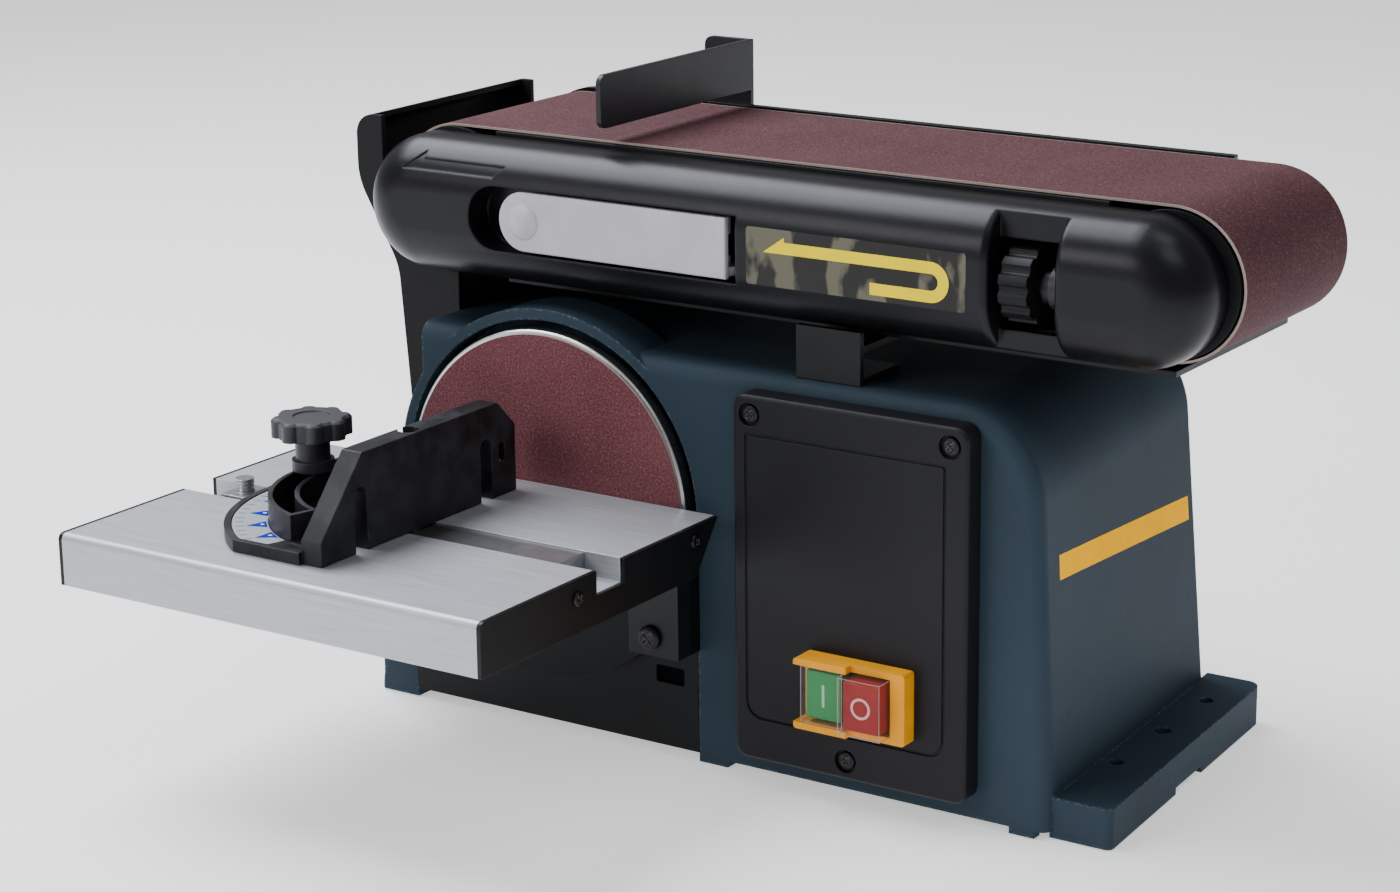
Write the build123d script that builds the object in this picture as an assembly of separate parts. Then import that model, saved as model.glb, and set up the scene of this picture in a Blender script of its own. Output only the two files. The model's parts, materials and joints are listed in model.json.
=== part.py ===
from build123d import *
import os
from math import cos, pi, radians, sin

# Belt and disc sander with a 150 mm disc and a 100 x 914 mm belt, in millimetres.
# Drawn with x = 0 on the disc axis, y = 0 on the abrasive disc's face and z = 0 on the bench;
# +X runs along the belt, +Y to the back, +Z up.  PLACE then moves the origin to the middle of the
# four bench bolts.

# Clearances
RUN_GAP = 0.3
FIT = 0.05

# Cross recess screws
CROSS_LENGTH = 1.15
CROSS_WIDTH = 0.24
CROSS_DEPTH = 0.9
HEAD_ROUND = 0.6

# Sanding belt and its drums
BELT_WIDTH = 100.0
BELT_LENGTH = 914.0
BELT_T = 1.0
BELT_FRONT = 34.5
DRUM_R = 31.0
DRUM_CROWN = 0.5
DRUM_OVERHANG = 1.5
DRUM_X = -69.8
DRUM_Z = 235.0
DRUM_SHELL = 4.0
DRUM_SHAFT_R = 6.0
DRUM_WEB = 6.0
IDLER_AXLE_R = 6.0
IDLER_HUB_R = 15.0
IDLER_SEAT = 14.0
IDLER_BEARING_T = 10.0

# Sanding disc
DISC_R = 75.0
DISC_T = 6.0
DISC_HUB_R = 18.0
DISC_HUB = 8.0
DISC_Z = 111.5
ABRASIVE_R = 73.0
ABRASIVE_T = 1.0
COWL_GAP = 4.0
COWL_WALL = 5.0

# Base casting
FOOT_LEFT = -105.0
FOOT_RIGHT = 279.0
FOOT_FRONT = 9.0
FOOT_REAR = 181.0
FOOT_H = 18.0
FOOT_TAPER = 11.0
FOOT_FRONT_R = 3.0
FOOT_REAR_R = 7.0
PAD_H = 3.0
FRONT_PAD = 70.5
REAR_PAD = 72.5
LEG_PAD = 17.0
TOE_LEFT = 234.0
TOE_RIGHT = 246.0
WALL = 5.0
WALL_FRONT = 4.0
WALL_REAR = 175.0
BODY_LEFT = -70.0
BODY_RIGHT = 253.0
BODY_TOP = 181.0
BODY_LEAN = 9.0
BODY_REAR_LEAN = 15.0
BODY_TAPER = 9.5
BODY_CORNER_R = 40.0
BODY_FRONT_R = 7.0
BODY_REAR_R = 5.0
LEG_SPREAD = 5.0
POCKET_DEPTH = 14.0
COWL_DEPTH = 17.5
ARCH_DEPTH = 26.0
BOLT_R = 3.3
BOLT_SPAN_X = 344.0
BOLT_SPAN_Y = 89.0
BOLT_SETBACK = 8.0
CLAMP_HOLE_R = 4.0
VENT_COUNT = 7
VENT_WIDTH = 5.0
VENT_HEIGHT = 46.0
VENT_PITCH = 13.0

# Lower front plate and lower disc guard
PLATE_T = 3.0
PLATE_TOP = 80.0
PLATE_HOLE_IN = 15.0
PLATE_HOLE_Z = 37.5
PLATE_HOLE_W = 15.0
PLATE_HOLE_H = 8.0
PLATE_HOLE_R = 1.0
GUARD_LAP = 4.0
GUARD_EASE = 0.5
GUARD_WALL = 2.0
GUARD_DEPTH = 8.0
GUARD_TOP = 90.0

# Disc table
TABLE_TOP_Z = 117.5
TABLE_LEFT = -131.0
TABLE_RIGHT = 94.0
TABLE_DEPTH = 167.0
TABLE_GAP = 2.1
TABLE_H = 23.0
TABLE_PLATE = 6.0
TABLE_SKIRT = 4.0
TABLE_EDGE_R = 3.0
CAP_T = 2.0
CAP_BEVEL_Y = 15.4
CAP_BEVEL_Z = 21.0
CAP_SCREW_R = 3.2
CAP_SCREW_H = 1.6
CAP_SCREW_FRONT = 23.5
CAP_SCREW_REAR = 18.2
CAP_SCREW_FRONT_DROP = 8.0
CAP_SCREW_REAR_DROP = 6.5
SLOT_WIDTH = 19.5
SLOT_DEPTH = 10.5
SLOT_CENTRE = 79.7
SLOT_WALL = 3.0
TILT_Y = -8.0
TILT_Z = 105.0
TILT_MAX = 45.0
EAR_INNER = 54.0
EAR_OUTER = 80.0
EAR_PROUD = 9.0
EAR_BOTTOM = 52.0
EAR_HOLE_X = 65.6
EAR_HOLE_Z = 60.6
BRACKET_SCREW_R = 5.5
BRACKET_SCREW_H = 3.0
LUG_T = 6.0
LUG_R = 5.5
PIN_R = 3.0
QUADRANT_T = 4.0
QUADRANT_R = 40.0
QUADRANT_RIM = 7.0
LOCK_ANGLE = 233.0
LOCK_KNOB_R = 11.0
LOCK_KNOB_T = 12.0
LOCK_KNOB_LOBES = 6
LOCK_LOBE_DEPTH = 2.0
LOCK_KNOB_NECK = 3.0
LOCK_NECK_IN = 4.0

# Mitre gauge
GAUGE_X = -9.5
BAR_LEFT = -112.0
BAR_RIGHT = 2.0
BAR_CLEAR = 0.25
HEAD_R = 79.0
HEAD_HALF = 68.0
HEAD_T = 5.0
HEAD_RIM = 3.0
SCALE_DEPTH = 0.6
FENCE_T = 10.5
FENCE_FACE = 6.0
FENCE_H = 42.2
FENCE_END_H = 10.0
FENCE_HALF = 66.0
FENCE_CHAMFER_FRONT = 28.0
FENCE_CHAMFER_REAR = 12.0
FENCE_SLOT_W = 8.0
FENCE_SLOT_H = 24.0
FENCE_SLOT_FRONT = 40.0
FENCE_SLOT_REAR = 45.0
FENCE_PORT_W = 4.3
FENCE_PORT_H = 9.7
FENCE_PORT_REAR = 56.2
FENCE_PORT_Z = 19.4
LOCK_RADIUS = 53.4
SWIVEL_MAX = 60.0
WELL_HALF = 4.6
WELL_WALL = 2.1
WELL_H = 11.4
WELL_ANGLE = 71.0
GAUGE_PIVOT_R = 4.0
GAUGE_STUD_R = 3.0
GAUGE_KNOB_R = 17.5
GAUGE_KNOB_T = 8.5
GAUGE_KNOB_Z = 158.5
GAUGE_STEM_R = 7.6
GAUGE_DISH_R = 8.0
GAUGE_DISH_DEPTH = 0.5
GAUGE_FLANGE_R = 9.2
GAUGE_FLANGE_T = 5.0
KNOB_LOBES = 8
KNOB_LOBE_DEPTH = 2.2
KNOB_BEVEL = 1.2
POINTER_T = 1.6
POINTER_SCREW_R = 4.1
POINTER_SCREW_H = 6.0
POINTER_SCREW_IN = 6.0
POINTER_NOSE = 5.0
THREAD_PITCH = 1.5
THREAD_DEPTH = 0.5

# Control panel and switch
PANEL_LEFT = 105.0
PANEL_RIGHT = 219.0
PANEL_BOTTOM = 12.0
PANEL_TOP = 175.0
PANEL_T = 11.0
PANEL_WALL = 3.0
PANEL_CORNER_R = 6.0
PANEL_SCREW_IN = 8.5
PANEL_SCREW_R = 4.0
PANEL_SCREW_SUNK = 0.4
SEAT_R = 5.2
SEAT_DEPTH = 2.0
FIELD_LEFT = 6.0
FIELD_RIGHT = 10.0
FIELD_FOOT = 19.0
FIELD_HEAD = 16.5
FIELD_FOOT_R = 8.0
FIELD_HEAD_R = 2.0
GROOVE_W = 1.4
GROOVE_DEPTH = 0.8
SWITCH_X = 168.5
SWITCH_Z = 51.8
SWITCH_W = 52.0
SWITCH_H = 31.5
SWITCH_CORNER_R = 1.5
SWITCH_RIM = 3.0
SWITCH_SIDE = 7.0
SWITCH_BASE = 2.0
SWITCH_PROUD = 8.0
SWITCH_LEDGE = 12.0
SWITCH_STEP = 26.0
SWITCH_BODY_DEPTH = 36.0
BUTTON_ON_PROUD = 9.0
BUTTON_OFF_PROUD = 14.0
BUTTON_TRAVEL = 3.0
BUTTON_GAP = 1.0

# Motor
MOTOR_R = 56.0
MOTOR_WALL = 3.5
MOTOR_LENGTH = 90.0
SHIELD_T = 10.0
STATOR_LENGTH = 42.0
STATOR_BORE = 30.0
AIR_GAP = 0.5
WINDING_LENGTH = 15.0
WINDING_CLEAR = 4.5
WINDING_INSET = 2.0
WINDING_ROUND = 5.0
MOTOR_SHAFT_R = 7.5
MOTOR_SHAFT_END_R = 5.0
BEARING_R = 17.5
BEARING_T = 11.0
FAN_R = 45.0
FAN_T = 12.0
FAN_HUB_R = 13.0
FAN_BLADES = 8
CAPACITOR_R = 17.0
CAPACITOR_LENGTH = 62.0
CAPACITOR_GAP = 14.0
CAPACITOR_LIFT = 9.0

# Belt drive at the back
MOTOR_PULLEY_R = 7.0
DRUM_PULLEY_R = 14.0
PULLEY_FLANGE = 1.5
PULLEY_WIDTH = 14.0
DRIVE_BELT_W = 9.0
DRIVE_BELT_T = 2.5
PULLEY_SETBACK = 5.0
COVER_WALL = 2.5
COVER_CLEAR = 3.0
GLAND_X = 205.0
GLAND_Z = 40.0
GLAND_R = 9.0
GLAND_BORE = 4.0
GLAND_LENGTH = 16.0

# Belt frame, tilt hub and pivot bracket
FRAME_BACK_GAP = 7.5
FRAME_PLATE = 4.0
FRAME_RIGHT = 263.5
FRAME_LIP = -0.4
FRAME_END_R = 33.0
BEAM_LEFT = -30.0
BEAM_RIGHT = 232.0
BEAM_FRONT = 60.0
BEAM_BOTTOM = 214.0
BEAM_WALL = 4.0
BEAM_END = 10.0
SPRING_WALL_X = 150.0
HUB_R = 18.0
HUB_BEARING_R = 14.0
HUB_LENGTH = 28.0
BRACKET_GAP = 4.0
BRACKET_R = 23.5
BRACKET_FOOT_LEFT = -66.0
BRACKET_FOOT_RIGHT = -5.0
POST_R = 5.0
POST_LEFT_X = 0.0
POST_RIGHT_X = 200.0
POST_Z = 234.0

# Platen, work stop, belt guard and rest bracket
PLATEN_LEFT = -46.0
PLATEN_RIGHT = 260.0
PLATEN_T = 2.8
PLATEN_LIP_H = 9.0
PLATEN_LIP_T = 2.0
PLATEN_LIP_SLANT = 9.0
STOP_X = 14.0
STOP_T = 2.5
STOP_FRONT = 26.0
STOP_GAP = 6.3
STOP_H = 23.5
STOP_LEG_LEFT = -9.0
STOP_LEG_DROP = 23.0
STOP_CORNER_R = 4.0
STOP_SCREW_R = 4.0
STOP_SCREW_H = 2.5
STOP_SCREW_PITCH = 14.0
UNDERGUARD_T = 2.5
UNDERGUARD_GAP = 2.1
UNDERGUARD_LEFT = -40.0
UNDERGUARD_RIGHT = 292.0
UNDERGUARD_FRONT = 31.0
UNDERGUARD_CORNER_R = 8.0
REST_LEFT = 127.0
REST_RIGHT = 158.5
REST_FRONT = 9.0
REST_FOOT = 31.0
REST_SHELF = 35.0
REST_T = 3.0
REST_LAP = 1.5

# Idler yoke, tension lever and tracking knob
YOKE_X = 244.0
YOKE_BAR = 10.0
YOKE_HALF_H = 9.0
YOKE_FRONT = 24.0
YOKE_ARM_T = 7.0
YOKE_REAR_ARM_T = 5.0
YOKE_NOSE = 9.0
AXLE_PIN_R = 1.5
BUSH_R = 9.5
BUSH_NECK_R = 7.5
BUSH_LEFT = 241.0
BUSH_NECK = 4.0
BUSH_RIGHT = 264.0
BUSH_CLEAR = 1.0
ROD_R = 5.0
ROD_Y = 95.0
ROD_LEFT = 140.0
ROD_COLLAR_X = 200.0
ROD_COLLAR_T = 4.0
ROD_COLLAR_R = 9.0
TENSION_TRAVEL = 4.0
SPRING_R = 7.5
SPRING_WIRE = 2.2
SPRING_TURNS = 9
STRIP_T = 3.0
STRIP_BOTTOM = 206.0
STRIP_TOP = 211.5
LEVER_LEFT = -23.5
LEVER_RIGHT = 95.5
LEVER_BOTTOM = 220.4
LEVER_TOP = 247.1
LEVER_T = 3.0
LEVER_FRONT = 3.0
LEVER_EDGE_R = 0.8
DIMPLE_R = 20.0
DIMPLE_DEPTH = 1.3
LEVER_PIN_X = 88.0
LEVER_PIN_Y = 10.5
LEVER_PIN_R = 2.5
LEVER_HUB_R = 5.0
LEVER_ARM_R = 4.2
LEVER_ARM_H = 9.0
CAM_R = 7.0
CAM_T = 4.0
CAM_LIFT = 0.6
LEVER_MAX = 90.0
KNOB_X = 225.7
KNOB_T = 13.0
KNOB_R = 16.0
KNOB_Y = 19.0
KNOB_DROP = 3.0
KNOB_FLUTES = 12
KNOB_FLUTE_R = 2.5
KNOB_FLUTE_OUT = 0.9
KNOB_COLLAR_R = 4.5
TRACK_SCREW_R = 3.0
TRACK_MAX = 0.6

# Front cover of the belt unit
COVER_FRONT = 2.0
COVER_BACK = 32.0
COVER_R = 30.9
COVER_DROP = 1.6
COVER_LEFT_REACH = 4.4
COVER_RIGHT_SHORT = 5.4
COVER_ROUND = 22.0
WINDOW_LEFT = -39.6
WINDOW_RIGHT = 101.4
WINDOW_MARGIN = 1.2
SCOOP_FLOOR = 16.0
SCOOP_RIGHT = 70.0
NOTCH_LEFT = 221.0
NOTCH_RIGHT = 251.0
NOTCH_BOTTOM = 213.0
NOTCH_TOP = 251.0
CHANNEL_DEPTH = 12.0
MOUTH_R = 3.0
ARROW_IN = 27.4
ARROW_LENGTH = 55.5
ARROW_HEAD = 10.5
ARROW_HEAD_H = 7.8
ARROW_SHAFT = 4.9
ARROW_SLANT = 5.0
ARROW_DROP = 12.9
ARROW_DEPTH = 0.5

# Dust hood at the drive drum
HOOD_FRONT = 32.5
HOOD_BACK = 149.5
HOOD_WALL = 2.5
HOOD_CLEAR_R = 36.0
HOOD_BOTTOM = 110.0
HOOD_LIP_X = -112.0
HOOD_OUT_X = -127.0
HOOD_LIP_ROUND = 9.5
HOOD_BELLY_Z = 237.0
HOOD_NECK_X = -105.0
HOOD_NECK_Z = 198.0
HOOD_BEND_R = 30.0
HOOD_FOOT_X = -98.0

# Worked-out places
BELT_IN = DRUM_R + RUN_GAP
BELT_OUT = BELT_IN + BELT_T
CENTRES = (BELT_LENGTH - 2 * pi * (BELT_IN + BELT_T / 2)) / 2
IDLER_X = DRUM_X + CENTRES
BELT_BACK = BELT_FRONT + BELT_WIDTH
BELT_TOP = DRUM_Z + BELT_OUT
BELT_BOTTOM = DRUM_Z - BELT_OUT
FRAME_FRONT = BELT_BACK + FRAME_BACK_GAP
FRAME_REAR = FRAME_FRONT + FRAME_PLATE
BRACKET_FRONT = FRAME_REAR + BRACKET_GAP
HUB_REAR = FRAME_REAR + HUB_LENGTH
POCKET_R = DISC_R + COWL_GAP
GUARD_R = POCKET_R + GUARD_LAP
COWL_R = POCKET_R + COWL_WALL
POCKET_BACK = WALL_FRONT + POCKET_DEPTH
ROOM_FRONT = POCKET_BACK + WALL
ROOM_REAR = WALL_REAR - WALL
PULLEY_FRONT = WALL_REAR + PULLEY_SETBACK
PULLEY_REAR = PULLEY_FRONT + PULLEY_WIDTH
GUARD_FRONT = WALL_FRONT - GUARD_DEPTH
TABLE_REAR = -TABLE_GAP
TABLE_FRONT = TABLE_REAR - TABLE_DEPTH
TABLE_UNDER = TABLE_TOP_Z - TABLE_PLATE
TABLE_BOTTOM = TABLE_TOP_Z - TABLE_H
SLOT_Y = TABLE_REAR - SLOT_CENTRE
SLOT_FLOOR = TABLE_TOP_Z - SLOT_DEPTH
LOCK_Y = TILT_Y + QUADRANT_R * cos(radians(LOCK_ANGLE))
LOCK_Z = TILT_Z + QUADRANT_R * sin(radians(LOCK_ANGLE))
BAR_TOP = TABLE_TOP_Z - 0.7
HEAD_BOTTOM = TABLE_TOP_Z + RUN_GAP
HEAD_TOP = HEAD_BOTTOM + HEAD_T
GAUGE_KNOB_X = GAUGE_X - LOCK_RADIUS
PANEL_FRONT = WALL_FRONT - PANEL_T
SWITCH_LEFT = SWITCH_X - SWITCH_W / 2
SWITCH_RIGHT = SWITCH_X + SWITCH_W / 2
SWITCH_LOW = SWITCH_Z - SWITCH_H / 2
SWITCH_HIGH = SWITCH_Z + SWITCH_H / 2
BUTTON_LEFT = SWITCH_LEFT + SWITCH_RIM
BUTTON_RIGHT = SWITCH_RIGHT - SWITCH_SIDE
BUTTON_LOW = SWITCH_LOW + SWITCH_RIM
BUTTON_HIGH = SWITCH_HIGH - SWITCH_RIM
MOTOR_FRONT = ROOM_FRONT + SHIELD_T
MOTOR_BACK = MOTOR_FRONT + MOTOR_LENGTH
STATOR_FRONT = (MOTOR_FRONT + MOTOR_BACK - STATOR_LENGTH) / 2
STATOR_BACK = STATOR_FRONT + STATOR_LENGTH
WINDING_OUTER = MOTOR_R - MOTOR_WALL - WINDING_CLEAR
WINDING_INNER = STATOR_BORE + WINDING_INSET
FAN_FRONT = MOTOR_BACK + SHIELD_T + 4.0
UNDERGUARD_TOP = BELT_BOTTOM - UNDERGUARD_GAP
UNDERGUARD_BOTTOM = UNDERGUARD_TOP - UNDERGUARD_T
PLATEN_TOP = DRUM_Z + BELT_IN - RUN_GAP
PLATEN_BOTTOM = PLATEN_TOP - PLATEN_T
COVER_Z = DRUM_Z - COVER_DROP
PLATEN_FRONT = COVER_BACK + RUN_GAP
KNOB_Z = DRUM_Z - KNOB_DROP
CHANNEL_FLOOR = COVER_FRONT + CHANNEL_DEPTH
CAM_SHIFT = TENSION_TRAVEL / 2
CAM_BOTTOM = LEVER_BOTTOM + CAM_LIFT
CAM_TOP = CAM_BOTTOM + CAM_T
AXLE_PIN_Y = FRAME_FRONT - 1 - YOKE_REAR_ARM_T / 2
STOP_BOTTOM = BELT_TOP + STOP_GAP
STOP_TOP = STOP_BOTTOM + STOP_H
FOOT_MID_X = (FOOT_LEFT + FOOT_RIGHT) / 2 - 3.0
FOOT_MID_Y = (FOOT_FRONT + FOOT_REAR) / 2 + BOLT_SETBACK
SPEED_RATIO = MOTOR_PULLEY_R / DRUM_PULLEY_R
PLACE = Pos(-FOOT_MID_X, -FOOT_MID_Y, 0)


def block(x0, x1, y0, y1, z0, z1):
    """A box between two corners."""
    return Pos((x0 + x1) / 2, (y0 + y1) / 2, (z0 + z1) / 2) * Box(x1 - x0, y1 - y0, z1 - z0)


def bar_x(x0, x1, y, z, r):
    """A round bar along X."""
    return Pos((x0 + x1) / 2, y, z) * Rot(0, 90, 0) * Cylinder(r, x1 - x0)


def bar_y(y0, y1, x, z, r):
    """A round bar along Y."""
    return Pos(x, (y0 + y1) / 2, z) * Rot(90, 0, 0) * Cylinder(r, y1 - y0)


def bar_z(z0, z1, x, y, r):
    """A round bar along Z."""
    return Pos(x, y, (z0 + z1) / 2) * Cylinder(r, z1 - z0)


def slab_x(face, x0, x1):
    """A (y, z) outline, thick from x0 to x1."""
    return extrude(Pos(x0, 0, 0) * (Plane.YZ * face), amount=x1 - x0, dir=(1, 0, 0))


def slab_y(face, y0, y1):
    """An (x, z) outline, thick from y0 to y1."""
    return extrude(Pos(0, y0, 0) * (Plane.XZ * face), amount=y1 - y0, dir=(0, 1, 0))


def slab_z(face, z0, z1):
    """An (x, y) outline, thick from z0 to z1."""
    return extrude(Pos(0, 0, z0) * face, amount=z1 - z0, dir=(0, 0, 1))


def outline(*points):
    """A closed outline through the points, kept where they lie."""
    return Polygon(*points, align=None)


def turned(x, z, *points):
    """A lathe-turned piece round an axis along Y, from (radius, y) points."""
    return Pos(x, 0, z) * revolve(outline(*points), Axis.Y)


def ring_y(y0, y1, x, z, outer, inner):
    """A plain ring round an axis along Y."""
    return turned(x, z, (inner, y0), (outer, y0), (outer, y1), (inner, y1))


def stadium(x0, x1, z, r):
    """A long outline with round ends about (x0, z) and (x1, z)."""
    return Pos((x0 + x1) / 2, z) * SlotCenterToCenter(x1 - x0, 2 * r)


def lobed(radius, count, depth):
    """A star knob's outline with round lobes."""
    lobe_r = pi * radius / count * 0.62
    star = Circle(radius - depth)
    for place in PolarLocations(radius - lobe_r, count):
        star += place * Circle(lobe_r)
    return star


def pan_head(radius, height):
    """A pan head that stands on z = 0, with a cross recess in its crown."""
    head = bar_z(0, height, 0, 0, radius)
    head = fillet(head.edges().sort_by(Axis.Z)[-1], HEAD_ROUND * height)
    for turn in (45, 135):
        arm = Box(CROSS_LENGTH * radius, CROSS_WIDTH * radius, 2 * CROSS_DEPTH)
        head -= Pos(0, 0, height) * Rot(0, 0, turn) * arm
    return head


# Base casting


def body_outline(inset, right, lean):
    """The base body seen from the front, with its leaning right wall and large shoulder."""
    left = BODY_LEFT + inset
    top = BODY_TOP - inset
    face = outline((left, PAD_H), (left, top), (right - lean, top), (right, PAD_H))
    shoulder = face.vertices().group_by(Axis.Y)[-1].sort_by(Axis.X)[-1]
    return fillet(shoulder, BODY_CORNER_R - inset)


def body_solid(inset):
    """The base body as a solid, narrower at the back, its walls moved in by the inset."""
    front_face = body_outline(inset, BODY_RIGHT - inset, BODY_LEAN)
    rear_face = body_outline(inset, BODY_RIGHT - BODY_TAPER - inset, BODY_REAR_LEAN)
    front = Pos(0, WALL_FRONT + inset, 0) * (Plane.XZ * front_face)
    rear = Pos(0, WALL_REAR - inset, 0) * (Plane.XZ * rear_face)
    return loft([front, rear], ruled=True)


def shoulder_edges(face):
    """A face's top, shoulder and right edges, which run into each other."""
    return [edge for edge in face.edges() if edge.bounding_box().max.X > DISC_R
            and edge.bounding_box().max.Z > DISC_Z]


def rounded_body():
    """The base body with its front and back edges rounded over."""
    body = body_solid(0)
    body = fillet(shoulder_edges(body.faces().sort_by(Axis.Y)[0]), BODY_FRONT_R)
    return fillet(shoulder_edges(body.faces().sort_by(Axis.Y)[-1]), BODY_REAR_R)


def foot_flanges():
    """The two foot flanges with their pads."""
    left_root = BODY_LEFT + WALL / 2
    right_root = BODY_RIGHT - WALL / 2
    left = outline((FOOT_LEFT, FOOT_FRONT), (left_root, FOOT_FRONT),
                   (left_root, FOOT_REAR), (FOOT_LEFT, FOOT_REAR))
    right = outline((right_root, FOOT_FRONT), (FOOT_RIGHT, FOOT_FRONT),
                    (FOOT_RIGHT - FOOT_TAPER, FOOT_REAR), (right_root - BODY_TAPER, FOOT_REAR))
    plans = []
    for plan, outer in ((left, slice(0, 2)), (right, slice(2, 4))):
        for end, radius in ((0, FOOT_FRONT_R), (-1, FOOT_REAR_R)):
            corner = plan.vertices().sort_by(Axis.X)[outer].sort_by(Axis.Y)[end]
            plan = fillet(corner, radius)
            outer = slice(0, 3) if outer.start == 0 else slice(-3, None)
        plans.append(plan)
    both = plans[0] + plans[1]
    flanges = slab_z(both, PAD_H, FOOT_H)
    ends = block(FOOT_LEFT, FOOT_RIGHT, FOOT_FRONT, FOOT_FRONT + FRONT_PAD, 0, PAD_H)
    ends += block(FOOT_LEFT, FOOT_RIGHT, FOOT_REAR - REAR_PAD, FOOT_REAR, 0, PAD_H)
    return flanges + (slab_z(both, 0, PAD_H) & ends)


def make_base_casting():
    """The hollow cast base with its disc cowl, foot flanges and openings."""
    cowl_face = Pos(0, DISC_Z) * Circle(COWL_R)
    cowl_face += outline((-COWL_R, DISC_Z), (COWL_R, DISC_Z), (COWL_R, PAD_H),
                         (FOOT_LEFT + LEG_SPREAD, PAD_H))
    arch = slab_y(Pos(0, DISC_Z) * Circle(COWL_R), WALL_FRONT, WALL_FRONT + ARCH_DEPTH)
    arch &= block(BODY_LEFT, COWL_R, WALL_FRONT, WALL_REAR, DISC_Z, DISC_Z + COWL_R)
    base = rounded_body() + arch + slab_y(cowl_face, WALL_FRONT, WALL_FRONT + COWL_DEPTH)
    base += foot_flanges()
    base += block(POCKET_R, COWL_R + 2 * WALL, WALL_FRONT, WALL_FRONT + LEG_PAD, 0, PAD_H)
    base += block(TOE_LEFT, TOE_RIGHT, WALL_FRONT, WALL_FRONT + WALL, 0, PAD_H)
    base += block(FOOT_LEFT + LEG_SPREAD, -POCKET_R, WALL_FRONT, WALL_FRONT + COWL_DEPTH, 0, PAD_H)
    pocket = Pos(0, DISC_Z) * Circle(POCKET_R)
    pocket += outline((-POCKET_R, DISC_Z), (POCKET_R, DISC_Z), (POCKET_R, -1), (-POCKET_R, -1))
    base -= slab_y(pocket, WALL_FRONT - 1, POCKET_BACK)
    room = body_solid(WALL)
    motor_room = block(FOOT_LEFT, FOOT_RIGHT, ROOM_FRONT, ROOM_REAR, 0, BODY_TOP)
    switch_room = block(POCKET_R + WALL, FOOT_RIGHT, WALL_FRONT, ROOM_FRONT, 0, BODY_TOP)
    base -= room & (motor_room + switch_room)
    for x in (FOOT_MID_X - BOLT_SPAN_X / 2, FOOT_MID_X + BOLT_SPAN_X / 2):
        for y in (FOOT_MID_Y - BOLT_SPAN_Y / 2, FOOT_MID_Y + BOLT_SPAN_Y / 2):
            base -= bar_z(-1, FOOT_H + 1, x, y, BOLT_R)
        base -= bar_z(-1, FOOT_H + 1, x, FOOT_MID_Y, CLAMP_HOLE_R)
    base -= bar_y(POCKET_BACK - 1, WALL_REAR + 1, 0, DISC_Z, MOTOR_SHAFT_R + COWL_GAP)
    half_w = SWITCH_W / 2 - SWITCH_RIM / 2
    half_h = SWITCH_H / 2 - SWITCH_RIM / 2
    base -= block(SWITCH_X - half_w, SWITCH_X + half_w, WALL_FRONT - 1, WALL_FRONT + WALL + 1,
                  SWITCH_Z - half_h, SWITCH_Z + half_h)
    vent_mid = (BODY_RIGHT + MOTOR_R) / 2 - BODY_TAPER
    for place in GridLocations(VENT_PITCH, 1, VENT_COUNT, 1):
        vent = place * SlotOverall(VENT_HEIGHT, VENT_WIDTH, rotation=90)
        base -= slab_y(Pos(vent_mid, DISC_Z) * vent, ROOM_REAR - 1, WALL_REAR + 1)
    base -= bar_y(ROOM_REAR - 1, WALL_REAR + 1, GLAND_X, GLAND_Z, GLAND_BORE + RUN_GAP)
    return base


def make_front_plate():
    """The black sheet that closes the base below the disc."""
    side = POCKET_R - RUN_GAP
    face = outline((-side, PAD_H + 1), (side, PAD_H + 1), (side, PLATE_TOP), (-side, PLATE_TOP))
    face -= Pos(0, DISC_Z) * Circle(POCKET_R - 1)
    hole = RectangleRounded(PLATE_HOLE_W, PLATE_HOLE_H, PLATE_HOLE_R)
    face -= Pos(POCKET_R - PLATE_HOLE_IN, PLATE_HOLE_Z) * hole
    return slab_y(face, WALL_FRONT, WALL_FRONT + PLATE_T)


def make_lower_disc_guard():
    """The half dish over the disc's lower half, with a pad at each side for the table."""
    face = Pos(0, DISC_Z) * Circle(GUARD_R)
    for side in (-1, 1):
        middle = side * (EAR_INNER + EAR_OUTER) / 2
        face += Pos(middle, (EAR_BOTTOM + GUARD_TOP) / 2) * Rectangle(
            EAR_OUTER - EAR_INNER, GUARD_TOP - EAR_BOTTOM)
    dish = slab_y(face, GUARD_FRONT, WALL_FRONT)
    dish &= block(-GUARD_R, GUARD_R, GUARD_FRONT, WALL_FRONT, DISC_Z - GUARD_R, GUARD_TOP)
    hollow_r = GUARD_R - GUARD_WALL - GUARD_EASE
    return dish - bar_y(GUARD_FRONT + GUARD_WALL, WALL_FRONT + 1, 0, DISC_Z, hollow_r)


# Disc table and its tilt


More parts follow.
